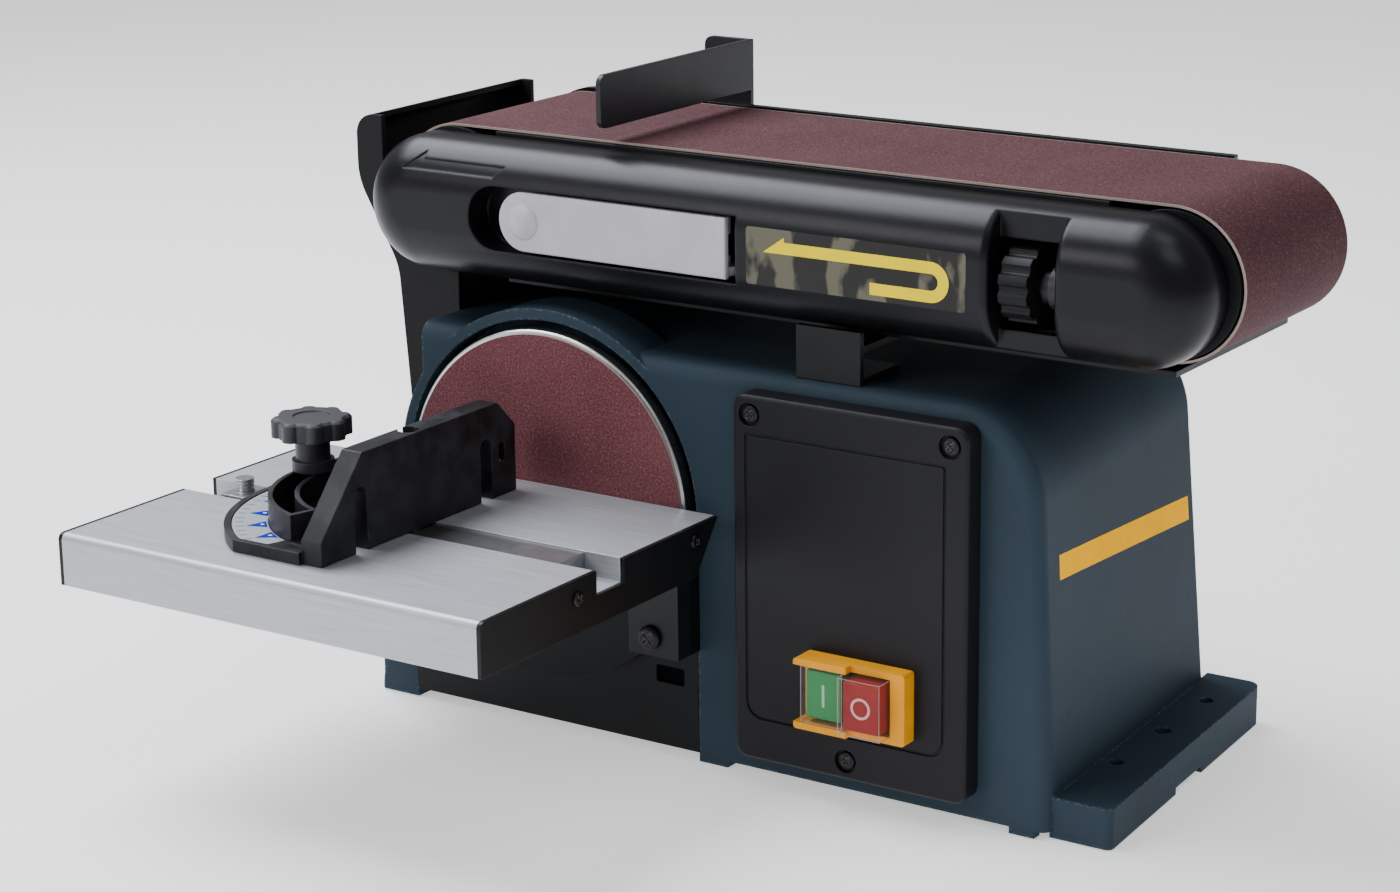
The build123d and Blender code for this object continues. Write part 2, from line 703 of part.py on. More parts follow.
def make_table_bracket(side):
    """One table bracket: ear, pivot lug and pin; the left one also holds the lock stud."""
    front = GUARD_FRONT - EAR_PROUD
    inner, outer = sorted((side * EAR_INNER, side * EAR_OUTER))
    lug0, lug1 = sorted((side * EAR_OUTER, side * (EAR_OUTER - LUG_T)))
    pin0, pin1 = sorted((side * (EAR_OUTER - LUG_T), side * (EAR_OUTER + QUADRANT_T + 2)))
    ear = block(inner, outer, front, GUARD_FRONT, EAR_BOTTOM, GUARD_TOP)
    lug = outline((TILT_Y - LUG_R, TILT_Z), (TILT_Y + LUG_R, TILT_Z), (GUARD_FRONT, GUARD_TOP),
                  (GUARD_FRONT, GUARD_TOP - LUG_R), (front, GUARD_TOP - LUG_R))
    lug += Pos(TILT_Y, TILT_Z) * Circle(LUG_R)
    if side < 0:
        arm = Pos(LOCK_Y, LOCK_Z) * Circle(LUG_R + 1.5)
        arm += Pos(GUARD_FRONT - EAR_PROUD / 2, LOCK_Z) * Circle(EAR_PROUD / 2)
        lug += make_hull(arm.edges())
    bracket = ear + slab_x(lug, lug0, lug1) + bar_x(pin0, pin1, TILT_Y, TILT_Z, PIN_R)
    if side < 0:
        stud_end = -EAR_OUTER - QUADRANT_T - LOCK_KNOB_T + 3
        bracket += bar_x(stud_end, lug1, LOCK_Y, LOCK_Z, PIN_R)
    return bracket - bar_y(front - 1, GUARD_FRONT + 1, side * EAR_HOLE_X, EAR_HOLE_Z, PIN_R - 1)


def make_bracket_screws():
    """The pan head screw of each table bracket."""
    front = GUARD_FRONT - EAR_PROUD
    screws = []
    for side in (-1, 1):
        head = Rot(90, 0, 0) * pan_head(BRACKET_SCREW_R, BRACKET_SCREW_H)
        head = Pos(side * EAR_HOLE_X, front, EAR_HOLE_Z) * head
        shank = bar_y(front, GUARD_FRONT, side * EAR_HOLE_X, EAR_HOLE_Z, PIN_R - 1 - FIT)
        screws.append(head + shank)
    return screws


def table_profile(with_skirt):
    """The table's section along X: closed for an end cap, open below for the extrusion."""
    slot0 = SLOT_Y - SLOT_WIDTH / 2
    slot1 = SLOT_Y + SLOT_WIDTH / 2
    top = [(TABLE_FRONT, TABLE_BOTTOM), (TABLE_FRONT, TABLE_TOP_Z), (slot0, TABLE_TOP_Z),
           (slot0, SLOT_FLOOR), (slot1, SLOT_FLOOR), (slot1, TABLE_TOP_Z), (TABLE_REAR, TABLE_TOP_Z)]
    slope = CAP_BEVEL_Y / CAP_BEVEL_Z
    if with_skirt:
        channel = SLOT_FLOOR - SLOT_WALL
        below = [(TABLE_REAR - TABLE_PLATE * slope, TABLE_UNDER), (slot1 + SLOT_WALL, TABLE_UNDER),
                 (slot1 + SLOT_WALL, channel), (slot0 - SLOT_WALL, channel),
                 (slot0 - SLOT_WALL, TABLE_UNDER), (TABLE_FRONT + TABLE_SKIRT, TABLE_UNDER),
                 (TABLE_FRONT + TABLE_SKIRT, TABLE_BOTTOM)]
    else:
        below = [(TABLE_REAR - CAP_BEVEL_Y, TABLE_TOP_Z - CAP_BEVEL_Z),
                 (TABLE_REAR - CAP_BEVEL_Y - 2, TABLE_BOTTOM)]
    face = outline(*top, *below)
    nose = face.vertices().sort_by(Axis.X)[:2].sort_by(Axis.Y)[-1]
    return fillet(nose, TABLE_EDGE_R)


def make_table_top():
    """The aluminium table extrusion with its mitre slot."""
    return slab_x(table_profile(True), TABLE_LEFT + CAP_T, TABLE_RIGHT - CAP_T)


def make_table_end_caps():
    """The black plate on each end of the table."""
    face = table_profile(False)
    return [slab_x(face, TABLE_LEFT, TABLE_LEFT + CAP_T), slab_x(face, TABLE_RIGHT - CAP_T, TABLE_RIGHT)]


def make_end_cap_screws():
    """Two raised screw heads on each end cap."""
    heads = []
    places = ((SLOT_Y - CAP_SCREW_FRONT, TABLE_TOP_Z - CAP_SCREW_FRONT_DROP),
              (TABLE_REAR - CAP_SCREW_REAR, TABLE_TOP_Z - CAP_SCREW_REAR_DROP))
    for x, turn in ((TABLE_LEFT, -90), (TABLE_RIGHT, 90)):
        for y, z in places:
            heads.append(Pos(x, y, z) * Rot(0, turn, 0) * pan_head(CAP_SCREW_R, CAP_SCREW_H))
    return heads


def make_table_lugs():
    """The pivot lug under each end of the table; the left one carries the tilt quadrant."""
    near = EAR_OUTER + RUN_GAP
    lug_r = LUG_R + 0.5
    pivot = (TILT_Y, TILT_Z)
    right = Pos(TILT_Y, TILT_Z) * Circle(lug_r)
    right += outline((TILT_Y - lug_r, TILT_Z), (TILT_Y + lug_r, TILT_Z),
                     (TILT_Y + lug_r, TABLE_UNDER), (TILT_Y - lug_r, TABLE_UNDER))
    hole = Pos(TILT_Y, TILT_Z) * Circle(PIN_R + FIT)
    rim = QUADRANT_R + QUADRANT_RIM
    first = LOCK_ANGLE - TILT_MAX - 5
    last = LOCK_ANGLE + 5
    arc = CenterArc(pivot, rim, first, last - first)
    pie_start = (arc @ 0).X, (arc @ 0).Y
    left = make_face([Line(pivot, arc @ 0), arc, Line(arc @ 1, pivot)])
    left += outline(pie_start, (TILT_Y + lug_r, TILT_Z - lug_r / 2),
                    (TILT_Y + lug_r, TABLE_UNDER), (pie_start[0], TABLE_UNDER))
    left += Pos(TILT_Y, TILT_Z) * Circle(lug_r)
    slot_arc = CenterArc(pivot, QUADRANT_R, LOCK_ANGLE - TILT_MAX, TILT_MAX)
    slot = SlotArc(slot_arc, 2 * (PIN_R + RUN_GAP))
    return [slab_x(right - hole, near, near + QUADRANT_T),
            slab_x(left - hole - slot, -near - QUADRANT_T, -near)]


def make_table_lock_knob():
    """The lobed knob that clamps the tilt quadrant."""
    inner = -EAR_OUTER - RUN_GAP - QUADRANT_T - RUN_GAP
    outer = inner - LOCK_KNOB_T
    neck = inner - LOCK_KNOB_NECK
    star = Pos(LOCK_Y, LOCK_Z) * lobed(LOCK_KNOB_R, LOCK_KNOB_LOBES, LOCK_LOBE_DEPTH)
    knob = slab_x(star, outer, neck)
    knob += bar_x(neck, inner, LOCK_Y, LOCK_Z, LOCK_KNOB_R - LOCK_NECK_IN)
    return knob - bar_x(outer + 2, inner + 1, LOCK_Y, LOCK_Z, PIN_R + FIT)


# Mitre gauge


def make_mitre_bar():
    """The guide bar in the table slot, with the pivot pin and the clamp stud's seat."""
    half = SLOT_WIDTH / 2 - BAR_CLEAR
    bar = block(BAR_LEFT, BAR_RIGHT, SLOT_Y - half, SLOT_Y + half, SLOT_FLOOR + BAR_CLEAR, BAR_TOP)
    bar += bar_z(BAR_TOP, HEAD_TOP, GAUGE_X, SLOT_Y, GAUGE_PIVOT_R)
    return bar


def make_mitre_pointer():
    """The pointer plate at the bar's end and its screw head."""
    width = SLOT_WIDTH / 2 - 1
    left = BAR_LEFT + 3
    right = GAUGE_X - HEAD_R - 1.5
    nose = right - POINTER_NOSE
    plate = outline((left, SLOT_Y - width), (nose, SLOT_Y - width), (right, SLOT_Y),
                    (nose, SLOT_Y + width), (left, SLOT_Y + width))
    screw_x = left + POINTER_SCREW_IN
    top = BAR_TOP + POINTER_T
    screw = bar_z(top, top + POINTER_SCREW_H, screw_x, SLOT_Y, POINTER_SCREW_R)
    ring = Pos(screw_x, SLOT_Y) * (Circle(POINTER_SCREW_R + 1) - Circle(POINTER_SCREW_R - THREAD_DEPTH))
    for i in range(int(POINTER_SCREW_H / THREAD_PITCH) - 1):
        groove = top + (i + 1) * THREAD_PITCH
        screw -= slab_z(ring, groove, groove + THREAD_PITCH / 2)
    return slab_z(plate, BAR_TOP, top) + screw


def sector(radius_in, radius_out, half_angle):
    """A ring sector about the gauge pivot, open towards -X."""
    width = radius_out - radius_in
    middle = (radius_in + radius_out) / 2
    arc = CenterArc((GAUGE_X, SLOT_Y), middle, 180 - half_angle, 2 * half_angle)
    return SlotArc(arc, width)


def wedge(radius_in, radius_out, half_angle):
    """A ring sector about the gauge pivot with straight ends."""
    reach = 2 * radius_out / cos(radians(half_angle))
    side = reach * sin(radians(half_angle))
    far = GAUGE_X - reach * cos(radians(half_angle))
    ring = Pos(GAUGE_X, SLOT_Y) * (Circle(radius_out) - Circle(radius_in))
    return ring & outline((GAUGE_X, SLOT_Y), (far, SLOT_Y + side), (far, SLOT_Y - side))


def fence_outline():
    """The fence seen along X: sloped ends, two slots open below and one closed."""
    front = SLOT_Y - FENCE_HALF
    rear = SLOT_Y + FENCE_HALF
    top = HEAD_BOTTOM + FENCE_H
    fence = outline((front, HEAD_BOTTOM), (front, HEAD_BOTTOM + FENCE_END_H),
                    (front + FENCE_CHAMFER_FRONT, top), (rear - FENCE_CHAMFER_REAR, top),
                    (rear, top - FENCE_CHAMFER_REAR), (rear, HEAD_BOTTOM))
    for y in (SLOT_Y - FENCE_SLOT_FRONT, SLOT_Y + FENCE_SLOT_REAR):
        slot = SlotOverall(FENCE_SLOT_H + FENCE_SLOT_W, FENCE_SLOT_W, rotation=90)
        fence -= Pos(y, HEAD_BOTTOM + FENCE_SLOT_H / 2) * slot
    port = SlotOverall(FENCE_PORT_H, FENCE_PORT_W, rotation=90)
    return fence - Pos(SLOT_Y + FENCE_PORT_REAR, HEAD_BOTTOM + FENCE_PORT_Z) * port


def make_mitre_head():
    """The protractor head with its sunk scale, clamp well and tall fence."""
    fence_x1 = GAUGE_X + FENCE_FACE
    fence_x0 = fence_x1 - FENCE_T
    left = GAUGE_X - HEAD_R
    front = SLOT_Y - HEAD_HALF
    rear = SLOT_Y + HEAD_HALF
    pivot = Pos(GAUGE_X, SLOT_Y)
    plan = pivot * Circle(HEAD_R)
    plan &= outline((left, front), (fence_x0, front), (fence_x0, rear), (left, rear))
    head = slab_z(plan, HEAD_BOTTOM, HEAD_TOP)
    inner = LOCK_RADIUS - WELL_HALF
    outer = LOCK_RADIUS + WELL_HALF
    wall_angle = WELL_WALL / LOCK_RADIUS * 180 / pi
    wall = wedge(inner - WELL_WALL, outer + WELL_WALL, WELL_ANGLE + wall_angle)
    wall -= wedge(inner, outer, WELL_ANGLE)
    scale = offset(plan, -HEAD_RIM) - pivot * Circle(outer + WELL_WALL)
    head -= slab_z(scale, HEAD_TOP - SCALE_DEPTH, HEAD_TOP + 1)
    head += slab_z(wall, HEAD_TOP, HEAD_TOP + WELL_H)
    stud = GAUGE_STUD_R + RUN_GAP + 0.2
    track = sector(LOCK_RADIUS - stud, LOCK_RADIUS + stud, SWIVEL_MAX)
    head -= slab_z(track, HEAD_BOTTOM - 1, HEAD_TOP + 1)
    head += slab_x(fence_outline(), fence_x0, fence_x1)
    head -= bar_z(HEAD_BOTTOM - 1, HEAD_TOP + 1, GAUGE_X, SLOT_Y, GAUGE_PIVOT_R + FIT)
    return head - bar_z(HEAD_TOP, HEAD_BOTTOM + FENCE_H + 1, GAUGE_X, SLOT_Y, GAUGE_PIVOT_R + 0.8)


def make_mitre_knob():
    """The star knob, stem and flange that clamp the head to the bar."""
    star = Pos(GAUGE_KNOB_X, SLOT_Y) * lobed(GAUGE_KNOB_R, KNOB_LOBES, KNOB_LOBE_DEPTH)
    cap = slab_z(star, GAUGE_KNOB_Z - GAUGE_KNOB_T, GAUGE_KNOB_Z)
    cap = chamfer(cap.faces().sort_by(Axis.Z)[-1].edges(), KNOB_BEVEL)
    cap -= bar_z(GAUGE_KNOB_Z - GAUGE_DISH_DEPTH, GAUGE_KNOB_Z + 1, GAUGE_KNOB_X, SLOT_Y, GAUGE_DISH_R)
    foot = HEAD_TOP + WELL_H + RUN_GAP
    knob = cap + bar_z(foot, GAUGE_KNOB_Z - GAUGE_KNOB_T, GAUGE_KNOB_X, SLOT_Y, GAUGE_STEM_R)
    knob += bar_z(foot, foot + GAUGE_FLANGE_T, GAUGE_KNOB_X, SLOT_Y, GAUGE_FLANGE_R)
    return knob + bar_z(BAR_TOP + RUN_GAP, foot, GAUGE_KNOB_X, SLOT_Y, GAUGE_STUD_R)


# Control panel and switch


def make_control_panel():
    """The shallow panel box with a raised field and the switch opening."""
    mid_x = (PANEL_LEFT + PANEL_RIGHT) / 2
    mid_z = (PANEL_BOTTOM + PANEL_TOP) / 2
    width = PANEL_RIGHT - PANEL_LEFT
    height = PANEL_TOP - PANEL_BOTTOM
    rim = RectangleRounded(width, height, PANEL_CORNER_R)
    panel = slab_y(Pos(mid_x, mid_z) * rim, PANEL_FRONT, WALL_FRONT)
    panel = fillet(panel.faces().sort_by(Axis.Y)[0].edges(), 2.0)
    room = RectangleRounded(width - 2 * PANEL_WALL, height - 2 * PANEL_WALL, PANEL_CORNER_R - PANEL_WALL)
    panel -= slab_y(Pos(mid_x, mid_z) * room, PANEL_FRONT + PANEL_WALL, WALL_FRONT + 1)
    for x, z in panel_screw_places():
        panel += bar_y(PANEL_FRONT + PANEL_WALL, WALL_FRONT, x, z, SEAT_R + PANEL_WALL / 2)
        panel -= bar_y(PANEL_FRONT - 1, PANEL_FRONT + SEAT_DEPTH, x, z, SEAT_R)
    panel -= block(BUTTON_LEFT - 1, BUTTON_RIGHT + 1, PANEL_FRONT - 1, PANEL_FRONT + PANEL_WALL + 1,
                   BUTTON_LOW - 1, BUTTON_HIGH + 1)
    field = panel_field()
    return panel - slab_y(field - offset(field, -GROOVE_W), PANEL_FRONT - 1, PANEL_FRONT + GROOVE_DEPTH)


def panel_field():
    """The outline of the panel's raised field, with tighter corners at the top."""
    left = PANEL_LEFT + FIELD_LEFT
    right = PANEL_RIGHT - FIELD_RIGHT
    low = PANEL_BOTTOM + FIELD_FOOT
    high = PANEL_TOP - FIELD_HEAD
    field = outline((left, low), (right, low), (right, high), (left, high))
    field = fillet(field.vertices().group_by(Axis.Y)[0], FIELD_FOOT_R)
    return fillet(field.vertices().group_by(Axis.Y)[-1], FIELD_HEAD_R)


def panel_screw_places():
    """The three panel screws: two at the top corners, one at the bottom."""
    high = PANEL_TOP - PANEL_SCREW_IN
    return ((PANEL_LEFT + PANEL_SCREW_IN, high), (PANEL_RIGHT - PANEL_SCREW_IN, high),
            ((PANEL_LEFT + PANEL_RIGHT) / 2 - 1, PANEL_BOTTOM + PANEL_SCREW_IN))


def make_panel_screws():
    """Pan heads sunk in the panel's round seats."""
    head = Rot(90, 0, 0) * pan_head(PANEL_SCREW_R, SEAT_DEPTH - PANEL_SCREW_SUNK)
    return [Pos(x, PANEL_FRONT + SEAT_DEPTH, z) * head for x, z in panel_screw_places()]


def make_switch_frame():
    """The yellow switch shroud, longer over the on button and open at that button's side."""
    ring = Pos(SWITCH_X, SWITCH_Z) * RectangleRounded(SWITCH_W, SWITCH_H, SWITCH_CORNER_R)
    ring -= outline((BUTTON_LEFT, BUTTON_LOW), (BUTTON_RIGHT, BUTTON_LOW),
                    (BUTTON_RIGHT, BUTTON_HIGH), (BUTTON_LEFT, BUTTON_HIGH))
    lip = PANEL_FRONT - SWITCH_LEDGE
    frame = slab_y(ring, lip, PANEL_FRONT)
    frame -= block(SWITCH_LEFT + SWITCH_STEP, SWITCH_RIGHT + 1, lip - 1, PANEL_FRONT - SWITCH_PROUD,
                   SWITCH_LOW - 1, SWITCH_HIGH + 1)
    return frame - block(SWITCH_LEFT - 1, BUTTON_LEFT + 1, lip - 1, PANEL_FRONT - SWITCH_BASE,
                         BUTTON_LOW, BUTTON_HIGH)


def make_switch_body():
    """The switch housing behind the panel."""
    half_w = SWITCH_W / 2 - SWITCH_RIM / 2 - RUN_GAP
    half_h = SWITCH_H / 2 - SWITCH_RIM / 2 - RUN_GAP
    front = PANEL_FRONT + PANEL_WALL + BUTTON_TRAVEL + 1
    return block(SWITCH_X - half_w, SWITCH_X + half_w, front, front + SWITCH_BODY_DEPTH,
                 SWITCH_Z - half_h, SWITCH_Z + half_h)


def make_button(side, proud):
    """One push button; side -1 is the on button, +1 the off button."""
    middle = (BUTTON_LEFT + BUTTON_RIGHT) / 2
    near = middle + side * BUTTON_GAP / 2
    far = BUTTON_RIGHT - RUN_GAP if side > 0 else BUTTON_LEFT + RUN_GAP
    left, right = sorted((near, far))
    button = block(left, right, PANEL_FRONT - proud, PANEL_FRONT + PANEL_WALL + 0.7,
                   BUTTON_LOW + RUN_GAP, BUTTON_HIGH - RUN_GAP)
    return fillet(button.faces().sort_by(Axis.Y)[0].edges(), 0.8)


# Motor and drive


def make_motor_shield(front):
    """A motor end shield with its bearing seat; front or back."""
    y0, y1 = (ROOM_FRONT, MOTOR_FRONT) if front else (MOTOR_BACK, MOTOR_BACK + SHIELD_T)
    boss = MOTOR_FRONT + BEARING_T - SHIELD_T + 3 if front else MOTOR_BACK - BEARING_T + SHIELD_T - 3
    low, high = sorted((y1 if front else y0, boss))
    shield = ring_y(y0, y1, 0, DISC_Z, MOTOR_R, BEARING_R + FIT)
    return shield + ring_y(low, high, 0, DISC_Z, BEARING_R + 5, BEARING_R + FIT)


def make_motor_bearings():
    """The two ball bearings of the motor shaft."""
    front = ROOM_FRONT + 1
    back = MOTOR_BACK + SHIELD_T - 1
    bore = MOTOR_SHAFT_R + FIT / 2
    return [ring_y(front, front + BEARING_T, 0, DISC_Z, BEARING_R, bore),
            ring_y(back - BEARING_T, back, 0, DISC_Z, BEARING_R, bore)]


def make_motor_housing():
    """The tube between the end shields."""
    return ring_y(MOTOR_FRONT, MOTOR_BACK, 0, DISC_Z, MOTOR_R, MOTOR_R - MOTOR_WALL)


def make_stator_core():
    """The laminated stator ring."""
    return ring_y(STATOR_FRONT, STATOR_BACK, 0, DISC_Z, MOTOR_R - MOTOR_WALL, STATOR_BORE)


def make_stator_windings():
    """The winding heads at both ends of the stator, rounded like bound coils."""
    heads = []
    front = STATOR_FRONT - WINDING_LENGTH
    back = STATOR_BACK + WINDING_LENGTH
    for y0, y1 in ((front, STATOR_FRONT), (STATOR_BACK, back)):
        head = ring_y(y0, y1, 0, DISC_Z, WINDING_OUTER, WINDING_INNER)
        end = head.faces().sort_by(Axis.Y)[0 if y0 < STATOR_FRONT else -1]
        heads.append(fillet(end.edges(), WINDING_ROUND))
    return heads


def make_rotor_core():
    """The rotor on the motor shaft."""
    return ring_y(STATOR_FRONT - 1, STATOR_BACK + 1, 0, DISC_Z, STATOR_BORE - AIR_GAP, MOTOR_SHAFT_R)


def make_motor_shaft():
    """The motor shaft from the disc hub to the rear pulley."""
    return turned(0, DISC_Z, (0, ABRASIVE_T + DISC_T), (MOTOR_SHAFT_R, ABRASIVE_T + DISC_T),
                  (MOTOR_SHAFT_R, WALL_REAR), (MOTOR_SHAFT_END_R, WALL_REAR),
                  (MOTOR_SHAFT_END_R, PULLEY_REAR), (0, PULLEY_REAR))


def make_cooling_fan():
    """The radial fan behind the motor."""
    fan = ring_y(FAN_FRONT, FAN_FRONT + FAN_T, 0, DISC_Z, FAN_HUB_R, MOTOR_SHAFT_R)
    fan += ring_y(FAN_FRONT, FAN_FRONT + 2, 0, DISC_Z, FAN_R, FAN_HUB_R - 1)
    blade = block(FAN_HUB_R - 1, FAN_R, FAN_FRONT, FAN_FRONT + FAN_T, -1, 1)
    for i in range(FAN_BLADES):
        fan += Pos(0, 0, DISC_Z) * Rot(0, 360 * i / FAN_BLADES, 0) * blade
    return fan


def make_start_capacitor():
    """The capacitor strapped to the back wall inside the base."""
    y = ROOM_REAR - CAPACITOR_R
    z = FOOT_H + CAPACITOR_R + CAPACITOR_LIFT
    left = MOTOR_R + CAPACITOR_GAP
    return bar_x(left, left + CAPACITOR_LENGTH, y, z, CAPACITOR_R)


def make_pulley(x, z, radius, bore):
    """A flanged pulley behind the base."""
    groove = (PULLEY_WIDTH - DRIVE_BELT_W) / 2 - RUN_GAP
    rim = radius + PULLEY_FLANGE
    return turned(x, z, (bore, PULLEY_FRONT), (rim, PULLEY_FRONT), (rim, PULLEY_FRONT + groove),
                  (radius, PULLEY_FRONT + groove), (radius, PULLEY_REAR - groove),
                  (rim, PULLEY_REAR - groove), (rim, PULLEY_REAR), (bore, PULLEY_REAR))


def pulley_loop(gap):
    """The outline round both pulleys at a distance from their grooves."""
    pair = Pos(0, DISC_Z) * Circle(MOTOR_PULLEY_R + gap)
    pair += Pos(DRUM_X, DRUM_Z) * Circle(DRUM_PULLEY_R + gap)
    return make_hull(pair.edges())


def make_drive_belt():
    """The flat drive belt from the motor pulley to the drum pulley."""
    y0 = (PULLEY_FRONT + PULLEY_REAR - DRIVE_BELT_W) / 2
    loop = pulley_loop(RUN_GAP + DRIVE_BELT_T) - pulley_loop(RUN_GAP)
    return slab_y(loop, y0, y0 + DRIVE_BELT_W)


def make_drive_cover():
    """The moulded cover over the belt drive at the back."""
    room = PULLEY_FLANGE + COVER_CLEAR
    back = PULLEY_REAR + COVER_WALL + 2
    shell = slab_y(pulley_loop(room + COVER_WALL), WALL_REAR, back)
    shell = fillet(shell.faces().sort_by(Axis.Y)[-1].edges(), 4.0)
    return shell - slab_y(pulley_loop(room), WALL_REAR - 1, back - COVER_WALL)


def make_cable_gland():
    """The cable gland at the back of the base."""
    collar = WALL_REAR + 6
    end = WALL_REAR + GLAND_LENGTH
    return turned(GLAND_X, GLAND_Z, (GLAND_BORE, WALL_REAR), (GLAND_R, WALL_REAR), (GLAND_R, collar),
                  (GLAND_R - 2, collar), (GLAND_R - 3, end), (GLAND_BORE, end))


# Disc


def make_disc_plate():
    """The aluminium disc with its hub."""
    back = ABRASIVE_T + DISC_T
    return turned(0, DISC_Z, (0, ABRASIVE_T), (DISC_R - 0.6, ABRASIVE_T), (DISC_R, ABRASIVE_T + 0.6),
                  (DISC_R, back), (DISC_HUB_R, back), (DISC_HUB_R, back + DISC_HUB),
                  (MOTOR_SHAFT_R, back + DISC_HUB), (MOTOR_SHAFT_R, back), (0, back))


def make_abrasive_disc():
    """The abrasive sheet on the disc."""
    return bar_y(0, ABRASIVE_T, 0, DISC_Z, ABRASIVE_R)


# Belt unit


def make_belt_frame():
    """The frame: rear plate, beam inside the belt loop, lever arm, cover posts and tilt hub."""
    plate = Pos(DRUM_X, DRUM_Z) * Circle(FRAME_END_R)
    plate += outline((DRUM_X, UNDERGUARD_TOP), (FRAME_RIGHT, UNDERGUARD_TOP),
                     (FRAME_RIGHT, BELT_TOP + FRAME_LIP), (DRUM_X, BELT_TOP + FRAME_LIP))
    frame = slab_y(plate, FRAME_FRONT, FRAME_REAR)
    beam = block(BEAM_LEFT, BEAM_RIGHT, BEAM_FRONT, FRAME_FRONT, BEAM_BOTTOM, PLATEN_BOTTOM)
    room_top = PLATEN_BOTTOM - BEAM_WALL
    for x0, x1 in ((BEAM_LEFT - 1, SPRING_WALL_X), (SPRING_WALL_X + BEAM_WALL, BEAM_RIGHT - BEAM_END)):
        beam -= block(x0, x1, BEAM_FRONT + BEAM_WALL, FRAME_FRONT + 1, BEAM_BOTTOM - 1, room_top)
    frame += beam
    frame -= bar_x(SPRING_WALL_X - 1, BEAM_RIGHT + 1, ROD_Y, DRUM_Z, ROD_R + FIT)
    arm_z0 = (LEVER_BOTTOM + LEVER_TOP - LEVER_ARM_H) / 2
    arm = block(LEVER_PIN_X - LEVER_ARM_R, LEVER_PIN_X + LEVER_ARM_R, LEVER_PIN_Y, BEAM_FRONT,
                arm_z0, arm_z0 + LEVER_ARM_H)
    arm += bar_z(arm_z0, arm_z0 + LEVER_ARM_H, LEVER_PIN_X, LEVER_PIN_Y, LEVER_ARM_R)
    frame += arm - bar_z(arm_z0 - 1, arm_z0 + LEVER_ARM_H + 1, LEVER_PIN_X, LEVER_PIN_Y, LEVER_PIN_R + FIT)
    frame += bar_y(SCOOP_FLOOR + COVER_WALL, BEAM_FRONT, POST_LEFT_X, POST_Z, POST_R)
    frame += bar_y(COVER_BACK, BEAM_FRONT, POST_RIGHT_X, POST_Z, POST_R)
    frame += bar_y(FRAME_REAR, HUB_REAR, DRUM_X, DRUM_Z, HUB_R)
    frame -= bar_y(FRAME_REAR + 1, HUB_REAR + 1, DRUM_X, DRUM_Z, HUB_BEARING_R + FIT)
    return frame - bar_y(FRAME_FRONT - 1, HUB_REAR, DRUM_X, DRUM_Z, DRUM_SHAFT_R + 3)


def make_drum_bearings():
    """The two bearings of the drive drum's shaft, inside the tilt hub."""
    width = (HUB_LENGTH - 4) / 2
    first = FRAME_REAR + 1.5
    bore = DRUM_SHAFT_R + FIT / 2
    return [ring_y(y, y + width, DRUM_X, DRUM_Z, HUB_BEARING_R, bore) for y in (first, first + width + 1)]


def make_pivot_bracket():
    """The cast bracket on the base that holds the tilt hub."""
    web = outline((DRUM_X - BRACKET_R + 1, DRUM_Z), (DRUM_X + BRACKET_R - 1, DRUM_Z),
                  (BRACKET_FOOT_RIGHT, BODY_TOP), (BRACKET_FOOT_LEFT, BODY_TOP))
    bracket = bar_y(BRACKET_FRONT, WALL_REAR, DRUM_X, DRUM_Z, BRACKET_R)
    bracket += slab_y(web, BRACKET_FRONT, WALL_REAR)
    return bracket - bar_y(BRACKET_FRONT - 1, WALL_REAR + 1, DRUM_X, DRUM_Z, HUB_R + FIT)


def make_platen():
    """The platen under the belt's upper run, its front edge bent down to slanted ends."""
    rear = FRAME_FRONT
    plate = block(PLATEN_LEFT, PLATEN_RIGHT, PLATEN_FRONT, rear, PLATEN_BOTTOM, PLATEN_TOP)
    low = PLATEN_TOP - PLATEN_LIP_H
    lip = outline((PLATEN_LEFT, PLATEN_TOP), (PLATEN_RIGHT, PLATEN_TOP), (PLATEN_RIGHT, PLATEN_BOTTOM),
                  (PLATEN_RIGHT - PLATEN_LIP_SLANT, low), (PLATEN_LEFT + PLATEN_LIP_SLANT, low),
                  (PLATEN_LEFT, PLATEN_BOTTOM))
    return plate + slab_y(lip, PLATEN_FRONT, PLATEN_FRONT + PLATEN_LIP_T)


def make_sanding_belt():
    """The abrasive belt round both drums."""
    loop = stadium(DRUM_X, IDLER_X, DRUM_Z, BELT_OUT) - stadium(DRUM_X, IDLER_X, DRUM_Z, BELT_IN)
    return slab_y(loop, BELT_FRONT, BELT_BACK)


def make_drive_drum():
    """The drive drum: a rubber faced shell with end webs on the shaft."""
    front = BELT_FRONT - DRUM_OVERHANG
    back = BELT_BACK + DRUM_OVERHANG
    web = DRUM_WEB
    inner = DRUM_R - DRUM_SHELL
    return turned(DRUM_X, DRUM_Z, (DRUM_SHAFT_R, front + web), (inner, front + web), (inner, front),
                  (DRUM_R, front), (DRUM_R, back), (inner, back), (inner, back - web),
                  (DRUM_SHAFT_R, back - web))


def make_drum_shaft():
    """The drive drum's shaft, through the tilt hub to its pulley."""
    front = BELT_FRONT - DRUM_OVERHANG + 2
    return bar_y(front, PULLEY_REAR, DRUM_X, DRUM_Z, DRUM_SHAFT_R)


def idler_ends():
    """The idler drum's front and back along Y."""
    return BELT_FRONT - DRUM_OVERHANG, BELT_BACK + DRUM_OVERHANG - 1


